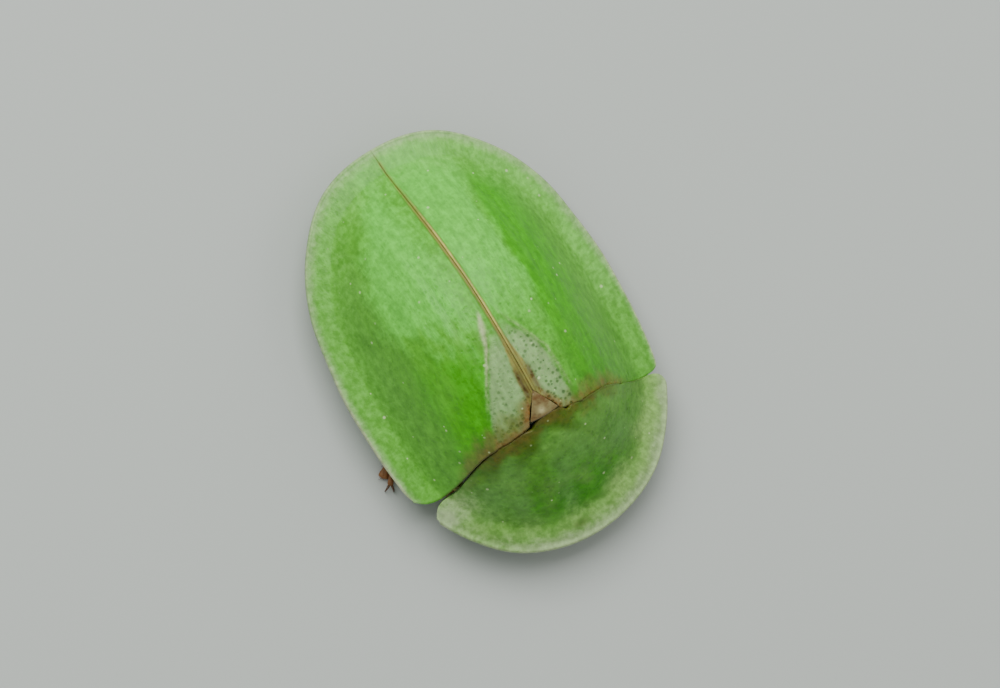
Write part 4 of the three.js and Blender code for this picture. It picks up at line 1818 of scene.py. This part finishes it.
@dataclass
class Head:
    """Head tucked under the pronotum, with its face plate, mouthparts, eyes and feelers."""

    centre: tuple[float, float, float] = (0.0, 6.34, 0.5)
    half: tuple[float, float, float] = (0.46, 0.42, 0.34)
    eye_centre: tuple[float, float, float] = (0.42, 6.4, 0.54)
    eye_half: tuple[float, float, float] = (0.13, 0.2, 0.22)
    feeler_path: tuple[tuple[float, float, float], ...] = (
        (0.17, 6.76, 0.52),
        (0.62, 6.86, 0.44),
        (1.08, 6.74, 0.38),
        (1.5, 6.4, 0.34),
    )
    beads: int = 11
    club: int = 5
    face_centre: tuple[float, float, float] = (0, 6.7, 0.4)
    face_half: tuple[float, float, float] = (0.2, 0.1, 0.14)
    lip_centre: tuple[float, float, float] = (0, 6.7, 0.25)
    lip_half: tuple[float, float, float] = (0.15, 0.06, 0.05)
    jaw_path: tuple[tuple[float, float, float], ...] = (
        (0.2, 6.6, 0.24),
        (0.17, 6.7, 0.19),
        (0.03, 6.74, 0.17),
    )
    palp_path: tuple[tuple[float, float, float], ...] = (
        (0.2, 6.56, 0.2),
        (0.27, 6.62, 0.15),
        (0.25, 6.72, 0.12),
        (0.18, 6.8, 0.12),
    )
    jaw_radius: float = 0.06
    palp_radius: float = 0.026
    palp_swelling: float = 0.012
    club_radius: float = 0.062
    stem_radius: float = 0.042
    club_bristles: int = 26
    stem_bristles: int = 6
    bristle_radius: float = 0.003

    def capsule(self, material: bpy.types.Material) -> None:
        """Makes the head capsule with its face plate.

        Args:
            material: Cuticle of the head.
        """
        form = bmesh.new()
        middle = forward_point(*self.centre)

        def move(point: Vector) -> Vector:
            """Rounded head, flattened in front, with a groove down the brow.

            Args:
                point: Point of the unit ball.

            Returns:
                Its new place in millimetres.
            """
            half = Vector(self.half)
            face = smooth(0.5, 1.0, -point.y)
            groove = 0.03 * bell(point.x, 0.0, 0.08) * smooth(0.3, 0.8, point.z - point.y)
            snout = 0.07 * bell(point.x, 0.0, 0.45) * smooth(0.2, -0.5, point.z)
            snout *= smooth(0.0, 0.8, -point.y)
            y = point.y * half.y * (1 - 0.06 * face) + groove - snout
            return middle + Vector((point.x * half.x * (1 - 0.12 * face), y, point.z * half.z))

        add_ball(form, 56, 40, move)
        finish_piece("head_capsule", form, material, ["head"])

    def palp_size(self, way: float) -> float:
        """Radius of a palp's joint at a share of its length."""
        return self.palp_radius + self.palp_swelling * math.sin(math.pi * way)

    def mouth(self, face: bpy.types.Material, horn: bpy.types.Material) -> None:
        """Makes the face plate, upper lip, jaws and palps.

        Args:
            face: Cuticle of the face plate.
            horn: Cuticle of the lip, jaws and palps.
        """
        plate = bmesh.new()
        add_egg(plate, forward_point(*self.face_centre), self.face_half, Matrix.Rotation(0.5, 3, "X"), 24)
        finish_piece("head_face_plate", plate, face, ["head"])
        lip = bmesh.new()
        add_egg(lip, forward_point(*self.lip_centre), self.lip_half, Matrix.Rotation(0.6, 3, "X"), 20)
        finish_piece("head_upper_lip", lip, horn, ["head"])
        for side in Side:
            jaw = bmesh.new()
            path = [forward_point(*point, side) for point in self.jaw_path]
            add_limb(jaw, path, lambda way: self.jaw_radius * (1 - 0.7 * way), 0.8, 14, 14)
            finish_piece(f"head_jaw_{side.word}", jaw, horn, ["head"])
            palp = bmesh.new()
            for near, far in zip(self.palp_path, self.palp_path[1:]):
                ends = [forward_point(*near, side), forward_point(*far, side)]
                add_limb(palp, ends, self.palp_size, 1.0, 10, 8)
            finish_piece(f"head_palp_{side.word}", palp, horn, ["head"])

    def eyes(self, material: bpy.types.Material) -> None:
        """Makes the two oval eyes.

        Args:
            material: Cuticle of the eyes.
        """
        for side in Side:
            form = bmesh.new()
            add_egg(form, forward_point(*self.eye_centre, side), self.eye_half, None, 40)
            node = f"eye_{side.word}"
            finish_piece(f"{node}_lens", form, material, [node])

    def feelers(self, material: bpy.types.Material) -> None:
        """Makes the two feelers, each of eleven joints, with a hairy club.

        Args:
            material: Cuticle of the feelers.
        """
        for side in Side:
            draw = random.Random(11 + side.value)
            path = [forward_point(*spot, side) for spot in self.feeler_path]
            form = bmesh.new()
            for i in range(self.beads):
                start = curve_point(path, i / self.beads)
                end = curve_point(path, (i + 0.96) / self.beads)
                clubbed = i >= self.beads - self.club
                size = (self.club_radius if clubbed else self.stem_radius) * (1.35 if i == 0 else 1.0)
                if i == self.beads - 1:
                    size *= 0.85

                def bead(way: float) -> float:
                    """Radius of this joint at a share of its length."""
                    return size * (0.55 + 0.45 * math.sin(math.pi * way**0.7))

                add_limb(form, [start, end], bead, 1.0, 14, 12)
                for _ in range(self.club_bristles if clubbed else self.stem_bristles):
                    way, turn = draw.uniform(0.1, 0.95), draw.uniform(0, math.tau)
                    run = (end - start).normalized()
                    across = run.cross(UP).normalized()
                    out = across * math.cos(turn) + across.cross(run) * math.sin(turn)
                    root = start.lerp(end, way) + out * size * 0.85
                    add_hair(form, root, root + out * 0.03 + run * 0.035, self.bristle_radius)
            club_start = abs(curve_point(path, (self.beads - self.club) / self.beads).x)
            paint(form, "club", lambda p: smooth(club_start - 0.1, club_start + 0.1, abs(p.x)))
            node = f"antenna_{side.word}"
            finish_piece(f"{node}_joints", form, material, [node])


@dataclass(frozen=True)
class LegPlan:
    """Plan of one leg: half width and distance in front of the tail of each joint."""

    name: str
    hip: tuple[float, float]
    knee: tuple[float, float]
    ankle: tuple[float, float]
    toe: tuple[float, float]
    right_toe: tuple[float, float] | None = None


LEG_PLANS = (
    LegPlan("front", (0.42, 5.5), (1.1, 5.93), (1.52, 5.36), (1.76, 5.96)),
    LegPlan("middle", (0.55, 4.45), (1.4, 4.02), (1.93, 4.2), (2.18, 4.94), (2.42, 4.92)),
    LegPlan("hind", (0.6, 3.45), (1.45, 2.85), (1.6, 2.02), (1.55, 1.3)),
)


@dataclass
class Leg:
    """One leg: hip, thigh, shank and a foot with pads, hairs and claws."""

    plan: LegPlan
    side: Side
    hip_z: float = 0.56
    knee_z: float = 0.4
    ankle_z: float = 0.22
    foot_z: float = 0.085
    thigh: float = 0.19
    thigh_end: float = 0.09
    shank: float = 0.085
    hip_half: tuple[float, float, float] = (0.22, 0.2, 0.17)
    ring_half: tuple[float, float, float] = (0.13, 0.13, 0.12)
    shank_hairs: int = 90
    shank_hair_radius: float = 0.004
    sole_hairs: int = 240
    sole_hair_radius: float = 0.005
    claw_path: tuple[tuple[float, float, float], ...] = (
        (0.93, 0.02, 0.12),
        (1.0, 0.05, 0.13),
        (1.05, 0.07, 0.07),
        (1.04, 0.07, 0.02),
    )
    claw_radius: float = 0.022
    claw_tip: float = 0.002

    def node(self, part: str) -> str:
        """Name of the CAD node of one part of this leg."""
        return f"leg_{self.plan.name}_{self.side.word}_{part}"

    def thigh_size(self, way: float) -> float:
        """Radius of the thigh at a share of its length."""
        swelling = math.sin(math.pi * min(way * 0.8 + 0.12, 1.0))
        return self.thigh_end + (self.thigh - self.thigh_end) * swelling

    def shank_size(self, way: float) -> float:
        """Radius of the shank at a share of its length."""
        return self.shank * (0.72 + 0.5 * way**1.5)

    def claw_size(self, way: float) -> float:
        """Radius of a claw at a share of its length."""
        return self.claw_radius * (1 - 0.85 * way) + self.claw_tip

    def build_thigh(self, material: bpy.types.Material) -> None:
        """Makes the hip, the ring between and the thigh.

        Args:
            material: Cuticle of the hip and the thigh.
        """
        hip = forward_point(*self.plan.hip, self.hip_z, self.side)
        knee = forward_point(*self.plan.knee, self.knee_z, self.side)
        run = (knee - hip).normalized()
        form = bmesh.new()
        add_egg(form, hip + Vector((0, 0, 0.03)), self.hip_half, None, 24)
        ring = hip + run * 0.22 + Vector((0, 0, -0.07))
        add_egg(form, ring, self.ring_half, None, 18)
        start = ring + run * 0.03
        add_limb(form, [start, start.lerp(knee, 0.5), knee], self.thigh_size, 0.85, 28, 28)
        reach = (knee - hip).length
        paint(form, "base", lambda p: smooth(reach * 0.62, reach * 0.42, (p - hip).length))
        finish_piece(self.node("femur") + "_skin", form, material, [self.node("femur")])

    def build_shank(self, material: bpy.types.Material) -> None:
        """Makes the shank with its fine hairs.

        Args:
            material: Cuticle of the shank.
        """
        knee = forward_point(*self.plan.knee, self.knee_z - 0.02, self.side)
        ankle = forward_point(*self.plan.ankle, self.ankle_z, self.side)
        run = (ankle - knee).normalized()
        across = run.cross(UP).normalized()
        form = bmesh.new()
        bend = knee.lerp(ankle, 0.3) + Vector((0, 0, 0.03))
        add_limb(form, [knee, bend, knee.lerp(ankle, 0.7), ankle], self.shank_size, 0.9, 20, 28)
        draw = random.Random(f"{self.plan.name}{self.side.word}shank")
        for _ in range(self.shank_hairs):
            way, turn = draw.uniform(0.25, 1.0) ** 0.7, draw.uniform(0, math.tau)
            out = across * math.cos(turn) + UP * math.sin(turn)
            root = knee.lerp(ankle, way) + out * self.shank * (0.62 + 0.4 * way)
            add_hair(form, root, root + out * 0.02 + run * 0.06, self.shank_hair_radius)
        finish_piece(self.node("tibia") + "_skin", form, material, [self.node("tibia")])

    def build_foot(self, material: bpy.types.Material, horn: bpy.types.Material) -> None:
        """Makes the joints of the foot, its hairy soles and the claws.

        Args:
            material: Cuticle of the foot.
            horn: Cuticle of the claws.
        """
        plan = self.plan
        toe = plan.right_toe if plan.right_toe and self.side is Side.RIGHT else plan.toe
        ankle = forward_point(*plan.ankle, 0.0, self.side)
        tip = forward_point(*toe, 0.0, self.side)
        run = (tip - ankle).normalized()
        length = (tip - ankle).length
        across = run.cross(UP).normalized()
        form = bmesh.new()

        def spot(share: float, aside: float, z: float) -> Vector:
            """Point of the foot at a share of its length."""
            return ankle + run * share * length + across * aside + UP * z

        def add_joint(start: Vector, end: Vector, near: float, far: float) -> None:
            """Flattened joint that widens to its end."""
            add_limb(form, [start, end], lambda way: near + (far - near) * way**1.3, 0.5, 18, 16)

        add_joint(spot(0.02, 0, 0.16), spot(0.36, 0, self.foot_z), 0.06, 0.12)
        add_joint(spot(0.3, 0, self.foot_z + 0.03), spot(0.56, 0, self.foot_z), 0.07, 0.14)
        for turn in (-1, 1):
            start = spot(0.5, turn * 0.03, self.foot_z + 0.03)
            add_joint(start, spot(0.82, turn * 0.13, self.foot_z - 0.01), 0.05, 0.1)
        last = [spot(0.52, 0, 0.12), spot(0.78, 0, 0.15), spot(0.95, 0, 0.12)]
        add_limb(form, last, lambda way: 0.03 + 0.025 * way, 0.9, 14, 14)
        draw = random.Random(f"{plan.name}{self.side.word}foot")
        for _ in range(self.sole_hairs):
            share = draw.uniform(0.15, 0.85)
            wide = 0.1 + 0.1 * smooth(0.3, 0.75, share)
            root = spot(share, draw.uniform(-wide, wide), self.foot_z)
            lean = across * draw.uniform(-0.012, 0.012) + run * draw.uniform(0.0, 0.02)
            foot = Vector((root.x, root.y, 0.004)) + lean
            add_hair(form, root, foot, self.sole_hair_radius)
        finish_piece(self.node("tarsus") + "_joints", form, material, [self.node("tarsus")])
        claws = bmesh.new()
        for turn in (-1, 1):
            hook = [spot(share, turn * aside, z) for share, aside, z in self.claw_path]
            add_limb(claws, hook, self.claw_size, 1.0, 10, 16)
        finish_piece(self.node("tarsus") + "_claws", claws, horn, [self.node("tarsus")])


@dataclass(frozen=True)
class Studio:
    """Camera at the photograph's angle, pale floor and soft lights."""

    lean_sideways: float = 9.57
    lean_back: float = 4.0
    roll: float = 59.68
    pixels_per_mm: float = 61.75
    anchor_pixel: tuple[float, float] = (482.1, 342.0)
    picture: tuple[int, int] = (1000, 688)
    distance: float = 120.0
    sensor: float = 36.0
    clip: tuple[float, float] = (0.001, 10.0)
    floor_half: float = 0.6
    floor_colour: Colour = (0.62, 0.64, 0.61)
    floor_roughness: float = 0.9
    overhead_power: float = 0.11
    side_power: float = 0.009
    sky_colour: Colour = (0.86, 0.93, 0.9)
    sky_strength: float = 0.4

    def axes(self) -> tuple[Vector, Vector, Vector]:
        """Right, up and backward directions of the camera.

        Returns:
            The three directions, in that order.
        """
        sideways, backward = math.radians(self.lean_sideways), math.radians(self.lean_back)
        back = Vector((-math.tan(sideways), math.tan(backward), 1.0))
        back.normalize()
        head = Vector((0, -1, 0))
        head = (head - back * head.dot(back)).normalized()
        flank = head.cross(back)
        turn = math.radians(self.roll)
        right = head * math.cos(turn) - flank * math.sin(turn)
        up = -(head * math.sin(turn) + flank * math.cos(turn))
        return right, up, back

    def camera(self) -> None:
        """Makes the camera."""
        right, up, back = self.axes()
        offset_x = (self.picture[0] / 2 - self.anchor_pixel[0]) / self.pixels_per_mm
        offset_y = (self.picture[1] / 2 - self.anchor_pixel[1]) / self.pixels_per_mm
        target = Vector((0, 0, WINGS.rim_z)) + right * offset_x - up * offset_y
        data = bpy.data.cameras.new("camera")
        data.sensor_width = self.sensor
        data.lens = self.sensor * self.distance / (self.picture[0] / self.pixels_per_mm)
        data.clip_start, data.clip_end = self.clip
        camera = show("camera", data)
        turn = Matrix((right, up, back)).transposed().to_4x4()
        camera.matrix_world = Matrix.Translation((target + back * self.distance) * MM) @ turn
        bpy.context.scene.camera = camera

    def floor(self) -> None:
        """Makes the plain pale floor."""
        form = bmesh.new()
        bmesh.ops.create_grid(form, x_segments=1, y_segments=1, size=self.floor_half)
        mesh = bpy.data.meshes.new("floor")
        form.to_mesh(mesh)
        form.free()
        material, _, shader = new_material("floor")
        shader.inputs["Base Color"].default_value = (*self.floor_colour, 1.0)
        shader.inputs["Roughness"].default_value = self.floor_roughness
        mesh.materials.append(material)
        show("floor", mesh)

    def light(self, name: str, place: Vector, size: float, power: float, colour: Colour) -> None:
        """Makes a soft box that faces the animal.

        Args:
            name: Name of the light.
            place: Place in millimetres.
            size: Side of the box in millimetres.
            power: Power in watts.
            colour: Colour of the light.
        """
        data = bpy.data.lights.new(name, "AREA")
        data.size = size * MM
        data.energy = power
        data.color = colour
        light = show(name, data)
        light.location = place * MM
        light.rotation_mode = "QUATERNION"
        light.rotation_quaternion = place.to_track_quat("Z", "Y")

    def lights(self) -> None:
        """Makes the lights and the soft surroundings."""
        right, up, back = self.axes()
        above = (back * 1.0 + up * 0.6 - right * 0.1) * 90
        self.light("overhead", above, 80, self.overhead_power, (0.97, 1.0, 0.98))
        beside = (right * 0.9 + up * 0.5 + back * 0.7) * 80
        self.light("side", beside, 60, self.side_power, (1.0, 0.98, 0.94))
        world = bpy.data.worlds.new("surroundings")
        world.use_nodes = True
        sky = world.node_tree.nodes["Background"]
        sky.inputs["Color"].default_value = (*self.sky_colour, 1.0)
        sky.inputs["Strength"].default_value = self.sky_strength
        bpy.context.scene.world = world

    def build(self) -> None:
        """Makes the camera, floor and lights."""
        self.camera()
        self.floor()
        self.lights()


SHELL_LAYERS = (
    # painted shade on the slopes that face away from the light
    ("slope", srgb(95, 168, 52)),
    ("deep", srgb(74, 172, 16)),
    # painted reflection: the sky seen on the top of the dome
    ("disc", srgb(110, 212, 70)),
    ("margin", srgb(129, 205, 88)),
    ("patch", srgb(146, 186, 116)),
    ("streak", srgb(200, 214, 156)),
    ("brown", srgb(116, 130, 58)),
    ("rust", srgb(138, 102, 52)),
    ("rim", srgb(162, 196, 130)),
    ("edge_line", srgb(198, 206, 162)),
    ("seam", srgb(152, 142, 70)),
    # painted highlight along the crest of the seam bead
    ("seam_glow", srgb(218, 208, 112)),
    ("seam_line", srgb(90, 64, 28)),
)
COLLAR_LAYERS = (
    ("deep", srgb(60, 146, 2)),
    ("disc", srgb(100, 158, 68)),
    ("dusk", srgb(70, 106, 16)),
    ("margin", srgb(150, 194, 104)),
    ("brown", srgb(106, 92, 30)),
    ("rim", srgb(176, 200, 144)),
    ("edge_line", srgb(186, 192, 152)),
    ("seam_line", srgb(64, 52, 24)),
)


def build_shell() -> None:
    """Builds the wing cases, pronotum and scutellum."""
    wings = ShellFinish("wing_case_green", srgb(100, 184, 46), srgb(88, 168, 36), SHELL_LAYERS).build()
    collar = ShellFinish(
        "pronotum_green", srgb(116, 174, 72), srgb(80, 142, 32), COLLAR_LAYERS,
        grain_per_metre=(6000.0, 5000.0, 5000.0),
    ).build()
    for side in Side:
        WingCase(side).build(wings)
    Pronotum().build(collar)
    scutellum = CuticleFinish(
        "scutellum_tan", srgb(150, 138, 90), srgb(112, 78, 36), mask="pale", mask_colour=srgb(206, 196, 140)
    )
    Scutellum().build(scutellum.build())


def build_body() -> None:
    """Builds the body under the shell, the head and the legs."""
    black = CuticleFinish("body_black", srgb(38, 34, 26), srgb(20, 18, 14), 0.42).build()
    belly = CuticleFinish(
        "abdomen_black", srgb(40, 38, 26), srgb(24, 22, 16), 0.42,
        mask="border", mask_colour=srgb(150, 168, 84),
    ).build()
    Underside().build(black, belly)
    horn = CuticleFinish("horn_brown", srgb(96, 58, 24), srgb(58, 32, 12), 0.3, coat=0.2).build()
    head = Head()
    head.capsule(CuticleFinish("head_black", srgb(34, 30, 24), srgb(16, 14, 10), 0.38, coat=0.1).build())
    face = CuticleFinish("face_brown", srgb(66, 46, 26), srgb(34, 24, 14), 0.38).build()
    head.mouth(face, horn)
    eye = CuticleFinish(
        "eye_dark", srgb(58, 38, 24), srgb(22, 14, 9), roughness=0.25,
        grain_per_metre=42000.0, grain_size=0.5, grain_strength=0.5, coat=0.3,
    ).build()
    head.eyes(eye)
    feeler = CuticleFinish(
        "feeler_tan", srgb(186, 142, 74), srgb(148, 106, 48), 0.5, mask="club", mask_colour=srgb(64, 46, 28)
    ).build()
    head.feelers(feeler)
    thigh = CuticleFinish(
        "thigh_green", srgb(150, 166, 74), srgb(116, 134, 50), 0.36,
        mask="base", mask_colour=srgb(30, 27, 18),
    ).build()
    shank = CuticleFinish("shank_green", srgb(176, 176, 92), srgb(140, 142, 62), 0.38).build()
    foot = CuticleFinish("foot_tan", srgb(158, 108, 60), srgb(116, 68, 34), 0.55).build()
    for plan in LEG_PLANS:
        for side in Side:
            leg = Leg(plan, side)
            leg.build_thigh(thigh)
            leg.build_shank(shank)
            leg.build_foot(foot, horn)


def main() -> None:
    """Builds the whole scene."""
    logging.basicConfig(level=logging.INFO, format="%(name)s: %(message)s")
    Studio().build()
    build_shell()
    build_body()


if __name__ == "__main__":
    main()
